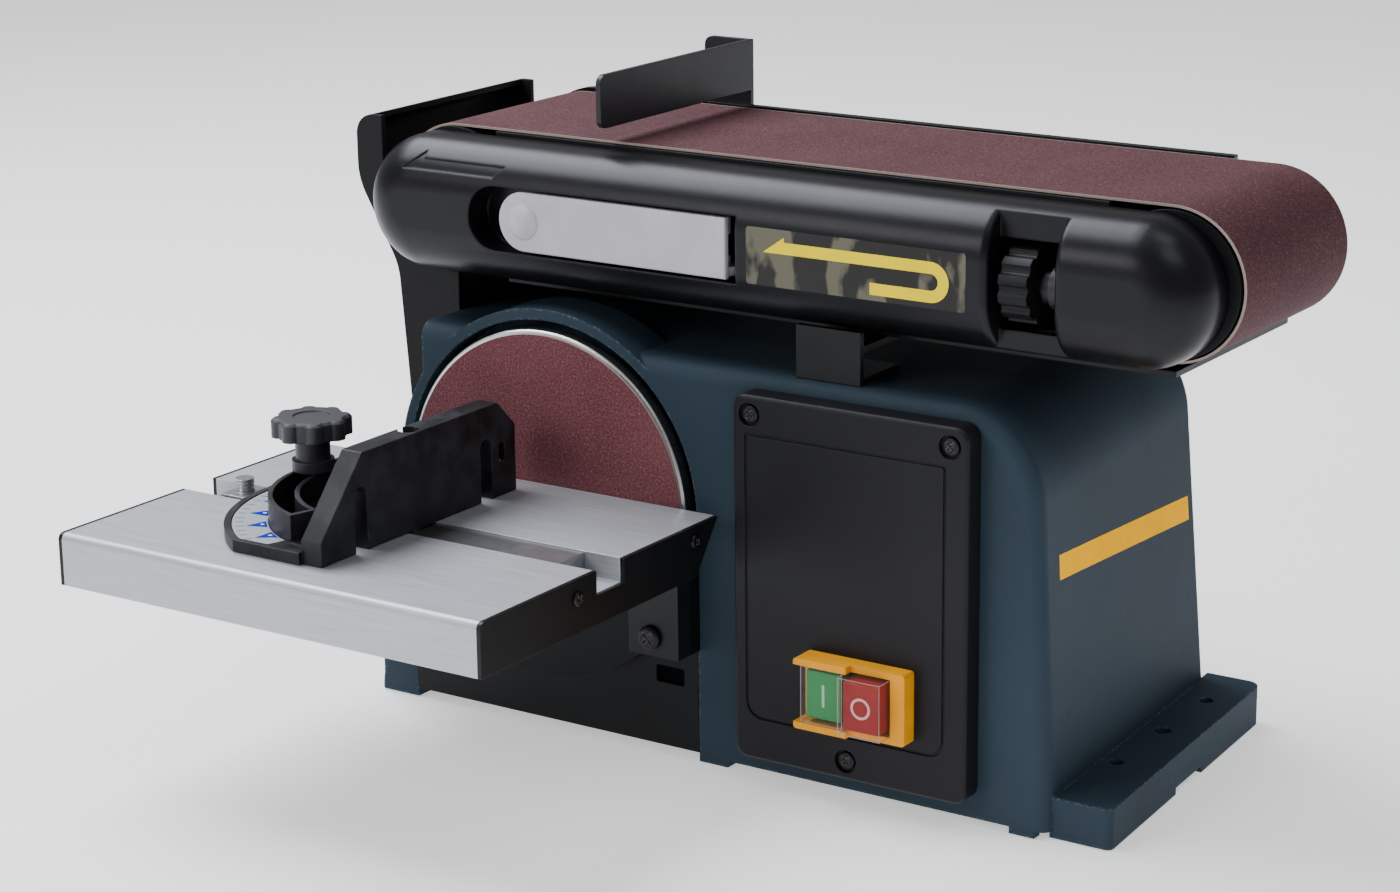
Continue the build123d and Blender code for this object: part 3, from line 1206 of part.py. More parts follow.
def make_idler_drum():
    """The crowned idler drum."""
    front, back = idler_ends()
    edge = DRUM_R - DRUM_CROWN
    inner = DRUM_R - DRUM_CROWN - DRUM_SHELL
    third = (back - front) / 3
    web = IDLER_SEAT
    bore = IDLER_HUB_R
    return turned(IDLER_X, DRUM_Z, (bore, front), (edge, front), (DRUM_R, front + third),
                  (DRUM_R, back - third), (edge, back), (bore, back), (bore, back - web),
                  (inner, back - web), (inner, front + web), (bore, front + web))


def make_idler_bearings():
    """The idler drum's two bearings on the axle."""
    front, back = idler_ends()
    outer = IDLER_HUB_R - FIT
    first = front + 1
    last = back - 1 - IDLER_BEARING_T
    return [ring_y(y, y + IDLER_BEARING_T, IDLER_X, DRUM_Z, outer, IDLER_AXLE_R) for y in (first, last)]


def make_idler_axle():
    """The idler axle; its front end is pushed by the tracking screw."""
    axle = bar_y(KNOB_Y - 6, FRAME_FRONT - 1, IDLER_X, DRUM_Z, IDLER_AXLE_R)
    low = DRUM_Z - YOKE_HALF_H
    high = DRUM_Z + YOKE_HALF_H
    return axle - bar_z(low, high, IDLER_X, AXLE_PIN_Y, AXLE_PIN_R + FIT)


def make_idler_yoke():
    """The sliding yoke: cross bar, two arms, axle pin, guide rod, cam follower and screw bush."""
    z0 = DRUM_Z - YOKE_HALF_H
    z1 = DRUM_Z + YOKE_HALF_H
    rear1 = FRAME_FRONT - 1
    rear0 = rear1 - YOKE_REAR_ARM_T
    bar1 = YOKE_X + YOKE_BAR
    front1 = YOKE_FRONT + YOKE_ARM_T
    nose = IDLER_X + YOKE_NOSE
    yoke = block(YOKE_X, bar1, YOKE_FRONT, rear1, z0, z1)
    yoke += block(YOKE_X, nose, YOKE_FRONT, front1, z0, z1)
    yoke += block(YOKE_X, nose, rear0, rear1, z0, z1)
    yoke -= bar_y(rear0 - 1, rear1 + 1, IDLER_X, DRUM_Z, IDLER_AXLE_R + FIT)
    yoke += bar_z(z0, z1, IDLER_X, AXLE_PIN_Y, AXLE_PIN_R)
    slot = stadium(IDLER_X - tracking_slack() - 1, IDLER_X, DRUM_Z, IDLER_AXLE_R + RUN_GAP)
    yoke -= slab_y(slot, YOKE_FRONT - 1, front1 + 1)
    yoke += bar_x(ROD_LEFT, YOKE_X, ROD_Y, DRUM_Z, ROD_R)
    yoke += bar_x(ROD_COLLAR_X, ROD_COLLAR_X + ROD_COLLAR_T, ROD_Y, DRUM_Z, ROD_COLLAR_R)
    hook = LEVER_PIN_X + CAM_SHIFT - CAM_R - RUN_GAP
    strip1 = front1 - 1
    strip0 = strip1 - STRIP_T
    yoke += block(hook - STRIP_T, bar1, strip0, strip1, STRIP_BOTTOM, STRIP_TOP)
    yoke += block(YOKE_X, bar1, strip0, front1, STRIP_BOTTOM, DRUM_Z)
    yoke += block(hook - STRIP_T, hook, strip0, strip1, STRIP_BOTTOM, CAM_TOP)
    yoke += block(hook - STRIP_T, hook, LEVER_PIN_Y - 1, strip1, CAM_BOTTOM, CAM_TOP)
    yoke += bar_x(BUSH_LEFT, BUSH_LEFT + BUSH_NECK, KNOB_Y, KNOB_Z, BUSH_NECK_R)
    yoke += bar_x(BUSH_LEFT + BUSH_NECK, BUSH_RIGHT, KNOB_Y, KNOB_Z, BUSH_R)
    return yoke - bar_x(BUSH_LEFT - 1, BUSH_RIGHT + 1, KNOB_Y, KNOB_Z, TRACK_SCREW_R + FIT)


def tracking_slack():
    """How far the tracking screw lets the axle's front end move."""
    return (FRAME_FRONT - KNOB_Y) * TRACK_MAX * pi / 180


def make_tension_lever():
    """The quick release lever with soft edges, a thumb dimple, its hub and eccentric cam."""
    half = (LEVER_TOP - LEVER_BOTTOM) / 2
    mid = (LEVER_TOP + LEVER_BOTTOM) / 2
    face = Pos(LEVER_LEFT + half, mid) * Circle(half)
    face += outline((LEVER_LEFT + half, LEVER_BOTTOM), (LEVER_RIGHT, LEVER_BOTTOM),
                    (LEVER_RIGHT, LEVER_TOP), (LEVER_LEFT + half, LEVER_TOP))
    back = LEVER_FRONT + LEVER_T
    lever = slab_y(face, LEVER_FRONT, back)
    lever = fillet(lever.faces().sort_by(Axis.Y)[0].edges(), LEVER_EDGE_R)
    lever -= Pos(LEVER_LEFT + half, LEVER_FRONT + DIMPLE_DEPTH - DIMPLE_R, mid) * Sphere(DIMPLE_R)
    arm_top = (LEVER_BOTTOM + LEVER_TOP + LEVER_ARM_H) / 2 + RUN_GAP
    arm_bottom = (LEVER_BOTTOM + LEVER_TOP - LEVER_ARM_H) / 2 - RUN_GAP
    for z0, z1 in ((LEVER_BOTTOM, arm_bottom), (arm_top, LEVER_TOP - 1)):
        lever += bar_z(z0, z1, LEVER_PIN_X, LEVER_PIN_Y, LEVER_HUB_R)
    cam = Pos(LEVER_PIN_X + CAM_SHIFT, LEVER_PIN_Y + CAM_SHIFT) * Circle(CAM_R)
    lever += slab_z(cam, CAM_BOTTOM, CAM_TOP)
    return lever - bar_z(LEVER_BOTTOM - 1, LEVER_TOP + 1, LEVER_PIN_X, LEVER_PIN_Y, LEVER_PIN_R + FIT)


def make_lever_pin():
    """The lever's hinge pin in the frame's arm."""
    return bar_z(LEVER_BOTTOM + 0.5, LEVER_TOP - 0.5, LEVER_PIN_X, LEVER_PIN_Y, LEVER_PIN_R)


def make_tension_spring():
    """The compression spring on the guide rod, as half turns joined end to end."""
    start = SPRING_WALL_X + BEAM_WALL + SPRING_WIRE / 2
    stop = ROD_COLLAR_X - SPRING_WIRE / 2
    half_turns = 2 * SPRING_TURNS
    step = (stop - start) / half_turns

    def at(turn):
        angle = pi * turn
        return (start + step * turn, ROD_Y + SPRING_R * cos(angle), DRUM_Z + SPRING_R * sin(angle))

    path = [ThreePointArc(at(i), at(i + 0.5), at(i + 1)) for i in range(half_turns)]
    wire = Wire(path)
    section = Plane(origin=wire @ 0, z_dir=wire % 0) * Circle(SPRING_WIRE / 2)
    return sweep(section, path=wire)


def make_tracking_knob():
    """The fluted tracking knob with its collar and screw."""
    grip = Circle(KNOB_R)
    for place in PolarLocations(KNOB_R + KNOB_FLUTE_OUT, KNOB_FLUTES):
        grip -= place * Circle(KNOB_FLUTE_R)
    knob = slab_x(Pos(KNOB_Y, KNOB_Z) * grip, KNOB_X, KNOB_X + KNOB_T)
    bush_face = BUSH_LEFT - RUN_GAP
    screw_tip = IDLER_X - IDLER_AXLE_R - tracking_slack() - RUN_GAP
    knob += bar_x(KNOB_X + KNOB_T, bush_face, KNOB_Y, KNOB_Z, KNOB_COLLAR_R)
    return knob + bar_x(bush_face, screw_tip, KNOB_Y, KNOB_Z, TRACK_SCREW_R)


def cover_shape(inset, back):
    """The cover's long block with its rounded front, moved in by the inset."""
    left = DRUM_X - COVER_LEFT_REACH
    right = IDLER_X - COVER_RIGHT_SHORT
    shape = slab_y(stadium(left, right, COVER_Z, COVER_R - inset), COVER_FRONT + inset, back)
    return fillet(shape.faces().sort_by(Axis.Y)[0].edges(), COVER_ROUND - inset)


def make_front_cover():
    """The moulded front cover with its lever window, finger scoop, knob channel and sunk arrow."""
    wall = COVER_WALL
    outer = cover_shape(0, COVER_BACK)
    cover = outer - cover_shape(wall, COVER_BACK + 1)
    window_z0 = LEVER_BOTTOM - WINDOW_MARGIN
    window_z1 = LEVER_TOP + WINDOW_MARGIN
    half = (window_z1 - window_z0) / 2
    mid = (window_z0 + window_z1) / 2
    scoop = block(WINDOW_LEFT - wall, SCOOP_RIGHT, COVER_FRONT, SCOOP_FLOOR + wall,
                  window_z0 - wall, window_z1 + wall)
    cover += scoop & outer
    cover += bar_y(COVER_FRONT, COVER_BACK, POST_RIGHT_X, POST_Z, POST_R) & outer
    window = Pos(WINDOW_LEFT + half, mid) * Circle(half)
    window += outline((WINDOW_LEFT + half, window_z0), (WINDOW_RIGHT, window_z0),
                      (WINDOW_RIGHT, window_z1), (WINDOW_LEFT + half, window_z1))
    cover -= slab_y(window, COVER_FRONT - 1, SCOOP_FLOOR)
    skin = outer - cover_shape(ARROW_DEPTH, COVER_BACK + 1)
    cover -= skin & slab_y(arrow_outline(), COVER_FRONT - 1, COVER_FRONT + COVER_ROUND)
    return knob_channel(cover, outer)


def arrow_outline():
    """The half-barbed arrow that shows which way the belt runs."""
    tip = DRUM_X - COVER_LEFT_REACH - COVER_R + ARROW_IN
    neck = tip + ARROW_HEAD
    end = tip + ARROW_LENGTH
    low = COVER_Z + COVER_R - ARROW_DROP
    return outline((tip, low), (end - ARROW_SLANT, low), (end, low + ARROW_SHAFT),
                   (neck, low + ARROW_SHAFT), (neck, low + ARROW_HEAD_H))


def knob_channel(cover, outer):
    """Sink the upright channel for the tracking knob into the cover, with rounded mouth edges."""
    low = COVER_Z - COVER_R
    high = COVER_Z + COVER_R
    side = COVER_WALL + MOUTH_R
    bed = CHANNEL_FLOOR + COVER_WALL
    cover += outer & block(NOTCH_LEFT - side, NOTCH_RIGHT + side, COVER_FRONT, bed, low, high)
    cover -= block(NOTCH_LEFT, NOTCH_RIGHT, COVER_FRONT - 1, CHANNEL_FLOOR, low - 1, high + 1)
    mouth = [edge for edge in cover.edges() if edge.center().Y < CHANNEL_FLOOR - 1
             and min(abs(edge.center().X - x) for x in (NOTCH_LEFT, NOTCH_RIGHT)) < 0.01
             and edge.bounding_box().size.X < 0.01]
    cover = fillet(mouth, MOUTH_R)
    cover -= block(NOTCH_LEFT, NOTCH_RIGHT, CHANNEL_FLOOR - 1, COVER_BACK + 1, NOTCH_BOTTOM, NOTCH_TOP)
    pass_r = BUSH_R + BUSH_CLEAR
    bush = Pos(KNOB_Y, KNOB_Z) * Circle(pass_r)
    bush += outline((KNOB_Y, KNOB_Z - pass_r), (COVER_BACK, KNOB_Z - pass_r),
                    (COVER_BACK, KNOB_Z + pass_r), (KNOB_Y, KNOB_Z + pass_r))
    return cover - slab_x(bush, NOTCH_RIGHT - 1, NOTCH_RIGHT + side + 1)


def make_belt_guard():
    """The sheet under the belt's lower run."""
    face = outline((UNDERGUARD_LEFT, UNDERGUARD_FRONT), (UNDERGUARD_RIGHT, UNDERGUARD_FRONT),
                   (UNDERGUARD_RIGHT, FRAME_REAR), (UNDERGUARD_LEFT, FRAME_REAR))
    corner = face.vertices().sort_by(Axis.X)[-2:].sort_by(Axis.Y)[-1]
    return slab_z(fillet(corner, UNDERGUARD_CORNER_R), UNDERGUARD_BOTTOM, UNDERGUARD_TOP)


def make_work_stop():
    """The bent steel stop across the belt, its free corners rounded."""
    rear = FRAME_REAR + STOP_T
    plate = outline((STOP_FRONT, STOP_BOTTOM), (rear, STOP_BOTTOM), (rear, STOP_TOP),
                    (STOP_FRONT, STOP_TOP))
    plate = fillet(plate.vertices().sort_by(Axis.X)[:2], STOP_CORNER_R)
    right = STOP_X + STOP_T
    foot = BELT_TOP - STOP_LEG_DROP
    leg = outline((STOP_LEG_LEFT, foot), (right, foot), (right, STOP_TOP), (STOP_LEG_LEFT, STOP_TOP))
    leg = fillet(leg.vertices().sort_by(Axis.X)[:2], STOP_CORNER_R)
    return slab_x(plate, STOP_X, right) + slab_y(leg, FRAME_REAR, rear)


def make_stop_screws():
    """The two screws of the work stop on the rear plate."""
    y0 = FRAME_REAR + STOP_T
    mid = (STOP_LEG_LEFT + STOP_X + STOP_T) / 2
    z = BELT_TOP - STOP_LEG_DROP / 2
    head = Rot(-90, 0, 0) * pan_head(STOP_SCREW_R, STOP_SCREW_H)
    return [Pos(mid + side * STOP_SCREW_PITCH / 2, y0, z) * head for side in (-1, 1)]


def make_rest_bracket():
    """The bent bracket on the base with a shelf that the lowered belt unit rests on."""
    shelf = UNDERGUARD_BOTTOM - RUN_GAP
    top = COVER_Z - COVER_R + REST_LAP
    web = REST_FRONT + REST_T
    foot = REST_FRONT + REST_FOOT
    back = REST_FRONT + REST_SHELF
    face = outline((REST_FRONT, BODY_TOP), (foot, BODY_TOP), (foot, BODY_TOP + REST_T),
                   (web, BODY_TOP + REST_T), (web, shelf - REST_T), (back, shelf - REST_T), (back, shelf),
                   (web, shelf), (web, top), (REST_FRONT, top))
    return slab_x(face, REST_LEFT, REST_RIGHT)


def hood_outline():
    """The dust hood seen from the front: a belly beside the drum, drawn in to its foot."""
    face = outline((HOOD_LIP_X, BELT_TOP), (HOOD_OUT_X, BELT_TOP), (HOOD_OUT_X, HOOD_BELLY_Z),
                   (HOOD_NECK_X, HOOD_NECK_Z), (HOOD_FOOT_X, HOOD_BOTTOM), (BODY_LEFT, HOOD_BOTTOM),
                   (BODY_LEFT, DRUM_Z), (HOOD_LIP_X, DRUM_Z))
    for x, z, radius in ((HOOD_OUT_X, BELT_TOP, HOOD_LIP_ROUND), (HOOD_OUT_X, HOOD_BELLY_Z, HOOD_BEND_R),
                         (HOOD_NECK_X, HOOD_NECK_Z, HOOD_BEND_R)):
        corner = face.vertices().sort_by_distance((x, z, 0))[0]
        face = fillet(corner, radius)
    return face


def make_dust_hood():
    """The dust hood round the drive drum, open to the belt and at its foot."""
    face = hood_outline()
    front = HOOD_FRONT + HOOD_WALL
    back = HOOD_BACK - HOOD_WALL
    hood = slab_y(face, HOOD_FRONT, HOOD_BACK)
    hood -= slab_y(offset(face, -HOOD_WALL), front, back)
    hood -= bar_y(HOOD_FRONT - 1, HOOD_BACK + 1, DRUM_X, DRUM_Z, HOOD_CLEAR_R)
    hood -= block(HOOD_OUT_X + HOOD_LIP_ROUND, DRUM_X, front, back, DRUM_Z - HOOD_WALL - 1, BELT_TOP + 1)
    return hood - block(HOOD_FOOT_X + HOOD_WALL, BODY_LEFT - HOOD_WALL, front, back,
                        HOOD_BOTTOM - 1, HOOD_BOTTOM + HOOD_WALL + 1)


PIECES = {
    "base_casting": make_base_casting,
    "front_plate": make_front_plate,
    "lower_disc_guard": make_lower_disc_guard,
    "table_bracket_left": lambda: make_table_bracket(-1),
    "table_bracket_right": lambda: make_table_bracket(1),
    "bracket_screws": make_bracket_screws,
    "control_panel": make_control_panel,
    "panel_screws": make_panel_screws,
    "switch_frame": make_switch_frame,
    "switch_body": make_switch_body,
    "on_button": lambda: make_button(-1, BUTTON_ON_PROUD),
    "off_button": lambda: make_button(1, BUTTON_OFF_PROUD),
    "motor_housing": make_motor_housing,
    "motor_front_shield": lambda: make_motor_shield(True),
    "motor_rear_shield": lambda: make_motor_shield(False),
    "motor_bearings": make_motor_bearings,
    "stator_core": make_stator_core,
    "stator_windings": make_stator_windings,
    "rotor_core": make_rotor_core,
    "motor_shaft": make_motor_shaft,
    "cooling_fan": make_cooling_fan,
    "start_capacitor": make_start_capacitor,
    "motor_pulley": lambda: make_pulley(0, DISC_Z, MOTOR_PULLEY_R, MOTOR_SHAFT_END_R),
    "drum_pulley": lambda: make_pulley(DRUM_X, DRUM_Z, DRUM_PULLEY_R, DRUM_SHAFT_R),
    "drive_belt": make_drive_belt,
    "drive_cover": make_drive_cover,
    "cable_gland": make_cable_gland,
    "disc_plate": make_disc_plate,
    "abrasive_disc": make_abrasive_disc,
    "table_top": make_table_top,
    "table_end_caps": make_table_end_caps,
    "end_cap_screws": make_end_cap_screws,
    "table_lugs": make_table_lugs,
    "table_lock_knob": make_table_lock_knob,
    "mitre_bar": make_mitre_bar,
    "mitre_pointer": make_mitre_pointer,
    "mitre_head": make_mitre_head,
    "mitre_knob": make_mitre_knob,
    "pivot_bracket": make_pivot_bracket,
    "belt_frame": make_belt_frame,
    "drum_bearings": make_drum_bearings,
    "platen": make_platen,
    "sanding_belt": make_sanding_belt,
    "drive_drum": make_drive_drum,
    "drum_shaft": make_drum_shaft,
    "idler_drum": make_idler_drum,
    "idler_bearings": make_idler_bearings,
    "idler_axle": make_idler_axle,
    "idler_yoke": make_idler_yoke,
    "tension_lever": make_tension_lever,
    "lever_pin": make_lever_pin,
    "tension_spring": make_tension_spring,
    "tracking_knob": make_tracking_knob,
    "front_cover": make_front_cover,
    "belt_guard": make_belt_guard,
    "work_stop": make_work_stop,
    "stop_screws": make_stop_screws,
    "rest_bracket": make_rest_bracket,
    "dust_hood": make_dust_hood,
}


def write_piece(name, shape):
    """Write one piece, or a group of like solids, to its own file."""
    solids = shape if isinstance(shape, list) else [shape]
    placed = [PLACE * solid for solid in solids]
    export_step(placed[0] if len(placed) == 1 else Compound(children=placed), f"parts/{name}.step")


os.makedirs("parts", exist_ok=True)
for piece_name, make_piece in PIECES.items():
    write_piece(piece_name, make_piece())
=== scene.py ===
"""The looks of the belt and disc sander: finishes, printed and clear pieces and a pale studio."""

import json
import math

import bmesh
import bpy
from mathutils import Matrix, Vector
from mathutils.bvhtree import BVHTree


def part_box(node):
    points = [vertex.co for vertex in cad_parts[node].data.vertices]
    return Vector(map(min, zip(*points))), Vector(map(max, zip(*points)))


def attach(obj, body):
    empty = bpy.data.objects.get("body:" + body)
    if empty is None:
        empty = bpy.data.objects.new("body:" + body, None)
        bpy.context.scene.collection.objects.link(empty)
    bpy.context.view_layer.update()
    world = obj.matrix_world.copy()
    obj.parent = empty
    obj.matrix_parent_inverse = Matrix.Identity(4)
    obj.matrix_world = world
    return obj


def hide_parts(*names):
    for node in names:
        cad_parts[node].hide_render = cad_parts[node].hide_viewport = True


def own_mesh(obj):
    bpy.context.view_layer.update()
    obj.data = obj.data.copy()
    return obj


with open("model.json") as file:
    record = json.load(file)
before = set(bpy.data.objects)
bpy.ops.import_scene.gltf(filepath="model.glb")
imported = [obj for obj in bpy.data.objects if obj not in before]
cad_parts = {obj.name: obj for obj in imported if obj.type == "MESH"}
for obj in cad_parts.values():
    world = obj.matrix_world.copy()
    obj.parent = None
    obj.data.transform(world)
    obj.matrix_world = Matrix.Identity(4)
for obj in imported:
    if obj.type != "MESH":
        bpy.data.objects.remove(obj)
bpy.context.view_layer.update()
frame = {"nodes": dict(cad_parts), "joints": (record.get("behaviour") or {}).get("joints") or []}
nodes = frame["nodes"]

MM = 0.001

# The middle of the bench bolts, where the frame has its origin, in the drawing's millimetres:
# x from the disc's axis, y from the disc's face and z from the bench
BOLT_MID = Vector((84.0, 103.0, 0.0))


def at(x, y, z):
    """A place of the drawing, in the frame's metres."""
    return (Vector((x, y, z)) - BOLT_MID) * MM


def span(node):
    """A solid's lowest and highest corners, in the drawing's millimetres."""
    low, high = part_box(node)
    return low / MM + BOLT_MID, high / MM + BOLT_MID


# Shader values and finishes

BEVEL_SAMPLES = 4


def colour(red, green, blue):
    """A linear colour from screen values of 0 to 255."""
    def linear(part):
        part /= 255
        return part / 12.92 if part <= 0.04045 else ((part + 0.055) / 1.055) ** 2.4
    return (linear(red), linear(green), linear(blue), 1.0)


def darker(tint, share):
    """A screen colour cut down to a share of its values."""
    return tuple(part * share for part in tint)


def words(key):
    """A shader socket's name from a Python name."""
    return "Specular IOR Level" if key == "specular" else key.replace("_", " ").title()


def feed(tree, socket, value):
    """Link a value into a socket, or set the socket to a number or colour."""
    if isinstance(value, Value):
        tree.links.new(value.socket, socket)
    else:
        socket.default_value = value


class Value:
    """A shader socket; arithmetic on it adds Math nodes."""

    def __init__(self, tree, socket):
        self.tree = tree
        self.socket = socket

    def math(self, operation, first, second):
        node = self.tree.nodes.new("ShaderNodeMath")
        node.operation = operation
        feed(self.tree, node.inputs[0], first)
        feed(self.tree, node.inputs[1], second)
        return Value(self.tree, node.outputs[0])

    def __add__(self, other):
        return self.math("ADD", self, other)

    __radd__ = __add__

    def __sub__(self, other):
        return self.math("SUBTRACT", self, other)

    def __rsub__(self, other):
        return self.math("SUBTRACT", other, self)

    def __mul__(self, other):
        return self.math("MULTIPLY", self, other)

    __rmul__ = __mul__

    def __gt__(self, other):
        return self.math("GREATER_THAN", self, other)

    def __lt__(self, other):
        return self.math("LESS_THAN", self, other)


class Finish:
    """A material being built from nodes on the piece's own coordinates."""

    def __init__(self, name, **constants):
        self.name = name
        self.material = bpy.data.materials.new(name)
        self.material.use_nodes = True
        self.tree = self.material.node_tree
        self.shader = self.tree.nodes["Principled BSDF"]
        self.place = self.node("ShaderNodeTexCoord", "Object")
        self.set(**constants)

    def node(self, kind, output=0, settings=None, **inputs):
        """Any node: its settings first, then its sockets by name, or by number as n0, n1 and so on."""
        node = self.tree.nodes.new(kind)
        for key, value in (settings or {}).items():
            setattr(node, key, value)
        for key, value in inputs.items():
            numbered = key[0] == "n" and key[1:].isdigit()
            feed(self.tree, node.inputs[int(key[1:]) if numbered else words(key)], value)
        return Value(self.tree, node.outputs[output])

    def set(self, **inputs):
        """Set or link sockets of the surface shader."""
        for key, value in inputs.items():
            feed(self.tree, self.shader.inputs[words(key)], value)

    def depth(self):
        """The drawing's y of the shaded place, in millimetres."""
        return self.node("ShaderNodeSeparateXYZ", "Y", vector=self.place) * (1 / MM) + BOLT_MID.y

    def noise(self, scale, detail, stretch=None, roughness=0.5):
        """Noise with scale cells to a metre, drawn out along the directions of small stretch."""
        place = self.place
        if stretch:
            place = self.node("ShaderNodeMapping", vector=self.place, scale=stretch)
        sizes = {"scale": scale, "detail": detail, "roughness": roughness}
        return self.node("ShaderNodeTexNoise", "Fac", vector=place, **sizes)

    def ramp(self, value, low, high):
        """0 at low and 1 at high, held beyond."""
        return self.node("ShaderNodeMapRange", value=value, from_min=low, from_max=high)

    def blend(self, factor, first, second):
        """A colour between two colours."""
        settings = {"data_type": "RGBA"}
        return self.node("ShaderNodeMix", 2, settings, n0=factor, n6=first, n7=second)

    def clouded(self, dark, light, scale, detail=2):
        """A colour that wanders softly between two screen colours."""
        cloud = self.ramp(self.noise(scale, detail), 0.3, 0.7)
        return self.blend(cloud, colour(*dark), colour(*light))

    def soft_normal(self, radius):
        """The normal with edges rounded over by a radius in millimetres."""
        return self.node("ShaderNodeBevel", settings={"samples": BEVEL_SAMPLES}, radius=radius * MM)

    def edges(self, radius, gain):
        """A mask of the piece's edges, about as wide as a radius in millimetres."""
        soft = self.soft_normal(radius)
        flat = self.node("ShaderNodeNewGeometry", "Normal")
        settings = {"operation": "DOT_PRODUCT"}
        dot = self.node("ShaderNodeVectorMath", "Value", settings, n0=soft, n1=flat)
        return self.ramp((1.0 - dot) * gain, 0.0, 1.0)

    def bump(self, height, distance, strength, radius=0.0):
        """Fine relief over edges softened by a radius, both in millimetres; ends the finish."""
        inputs = {"height": height, "distance": distance * MM, "strength": strength}
        if radius:
            inputs["normal"] = self.soft_normal(radius)
        self.set(normal=self.node("ShaderNodeBump", **inputs))
        return self


def slate_paint():
    """The base casting's fine textured dark slate paint, lighter along its edges from worn paint and
    from a painted highlight.
    """
    f = Finish("slate_paint", specular=0.08)
    base = f.clouded((43, 56, 66), (50, 64, 75), scale=9, detail=3)
    # Edges are lightened whatever the light: partly worn paint, partly a painted highlight on the curved
    # shoulders.
    worn = f.edges(radius=2.0, gain=4.0) * f.ramp(f.noise(700, 3), 0.5, 0.66)
    speck = f.ramp(f.noise(2600, 1), 0.7, 0.78)
    scuffs_and_highlight = f.ramp(worn * 0.85 + speck * 0.12, 0.0, 1.0)
    f.set(base_color=f.blend(scuffs_and_highlight, base, colour(120, 135, 142)))
    f.set(roughness=0.5 + 0.12 * f.noise(300, 2))
    return f.bump(f.noise(1300, 2), distance=0.2, strength=0.3, radius=1.2)


# The tint of what a black moulding mirrors
COOL_SHEEN = (0.92, 0.92, 1.0, 1.0)


def moulded_black(name, dark, light, roughness, grain, edge, specular):
    """Black moulding with a fine grain and a cool sheen."""
    f = Finish(name, specular=specular, specular_tint=COOL_SHEEN)
    f.set(base_color=f.clouded(dark, light, scale=14))
    f.set(roughness=roughness + 0.08 * f.noise(90, 3))
    return f.bump(f.noise(2400, 1), distance=0.05, strength=grain, radius=edge)


def handled_black(name):
    """Black moulding with the grey smudges and fine scratches of handling."""
    f = Finish(name, specular=0.3)
    smudge = f.ramp(f.noise(45, 4, roughness=0.65), 0.44, 0.72)
    scratch = f.ramp(f.noise(700, 2, stretch=(1, 1, 0.12)), 0.66, 0.76)
    worn = f.edges(radius=0.9, gain=3.0) * f.ramp(f.noise(260, 3), 0.4, 0.65)
    base = f.blend(smudge * 0.55, colour(21, 21, 24), colour(60, 60, 66))
    base = f.blend(worn * 0.45 + scratch * 0.12, base, colour(96, 96, 100))
    f.set(base_color=base, roughness=0.36 + 0.2 * smudge)
    return f.bump(f.noise(1100, 2), distance=0.05, strength=0.4, radius=0.8)


def black_paint(name, dark, light, specular, worn_edge_glint):
    """Semi-gloss black paint on sheet steel, lighter along its edges from wear, and from a painted
    highlight where the lightening is strong.
    """
    f = Finish(name, specular=specular)
    base = f.clouded(dark, light, scale=20)
    # Edge lightening: wear at low strength, a painted highlight along a rim at high strength.
    worn = f.edges(radius=0.7, gain=2.5) * f.ramp(f.noise(500, 2), 0.5, 0.7)
    f.set(base_color=f.blend(worn * worn_edge_glint, base, colour(85, 86, 88)))
    f.set(roughness=0.3 + 0.12 * f.noise(120, 3))
    return f.bump(f.noise(800, 2), distance=0.05, strength=0.25, radius=0.5)


# How a metal's fine lines run: drawn along x or y, even, in stacked sheets or in turns of wire
DRAWN_X = (0.04, 1, 1)
DRAWN_Y = (1, 0.1, 1)
EVEN = (1, 1, 1)
STACKED = (0.1, 6, 0.1)
WOUND = (1, 5, 1)


def brushed_metal(name, tint, roughness, stretch, painted_edge_light, metallic=1.0):
    """Metal with fine lines along the directions of small stretch, and a painted highlight along its
    edges.
    """
    f = Finish(name, metallic=metallic)
    lines = f.noise(900, 3, stretch)
    tone = f.ramp(lines, 0.25, 0.75)
    base = f.blend(tone, colour(*darker(tint, 0.9)), colour(*tint))
    # Painted highlight: edges lightened towards white whatever the light.
    edge = f.edges(radius=0.6, gain=3.0) * painted_edge_light
    f.set(base_color=f.blend(edge, base, colour(245, 245, 245)))
    f.set(roughness=roughness + 0.1 * lines)
    return f.bump(lines, distance=0.02, strength=0.25, radius=0.4)


def abrasive(name, dark, light, speck, sparkle, low, high):
    """Abrasive grain on a backing, whose pale cut edge shows at depths beyond low and high."""
    f = Finish(name, specular=0.18)
    cloud = f.ramp(f.noise(28, 3), 0.25, 0.75)
    base = f.blend(cloud, colour(*dark), colour(*light))
    grit = f.noise(1000, 4, roughness=0.7)
    base = f.blend(f.ramp(grit, 0.54, 0.72) * 0.8, base, colour(*speck))
    spark = f.ramp(f.noise(2400, 1), 0.68, 0.76)
    base = f.blend(spark * sparkle, base, colour(222, 190, 184))
    base = f.blend(f.ramp(grit, 0.47, 0.33) * 0.7, base, colour(38, 18, 20))
    depth = f.depth()
    edge = f.ramp((depth < low) + (depth > high), 0.0, 1.0)
    f.set(base_color=f.blend(edge, base, colour(172, 154, 145)))
    f.set(roughness=0.66 + 0.25 * grit)
    return f.bump(grit, distance=0.18, strength=0.7)


def printed_ink(name, tint, glow=0.0):
    """Flat ink, with a little glow where it has to stay bright in the shade."""
    f = Finish(name, specular=0.0, emission_strength=glow)
    ink = f.clouded(darker(tint, 0.96), tint, scale=60)
    f.set(base_color=ink, emission_color=ink, roughness=0.5 + 0.1 * f.noise(500, 2))
    return f.bump(f.noise(1500, 1), distance=0.01, strength=0.2)


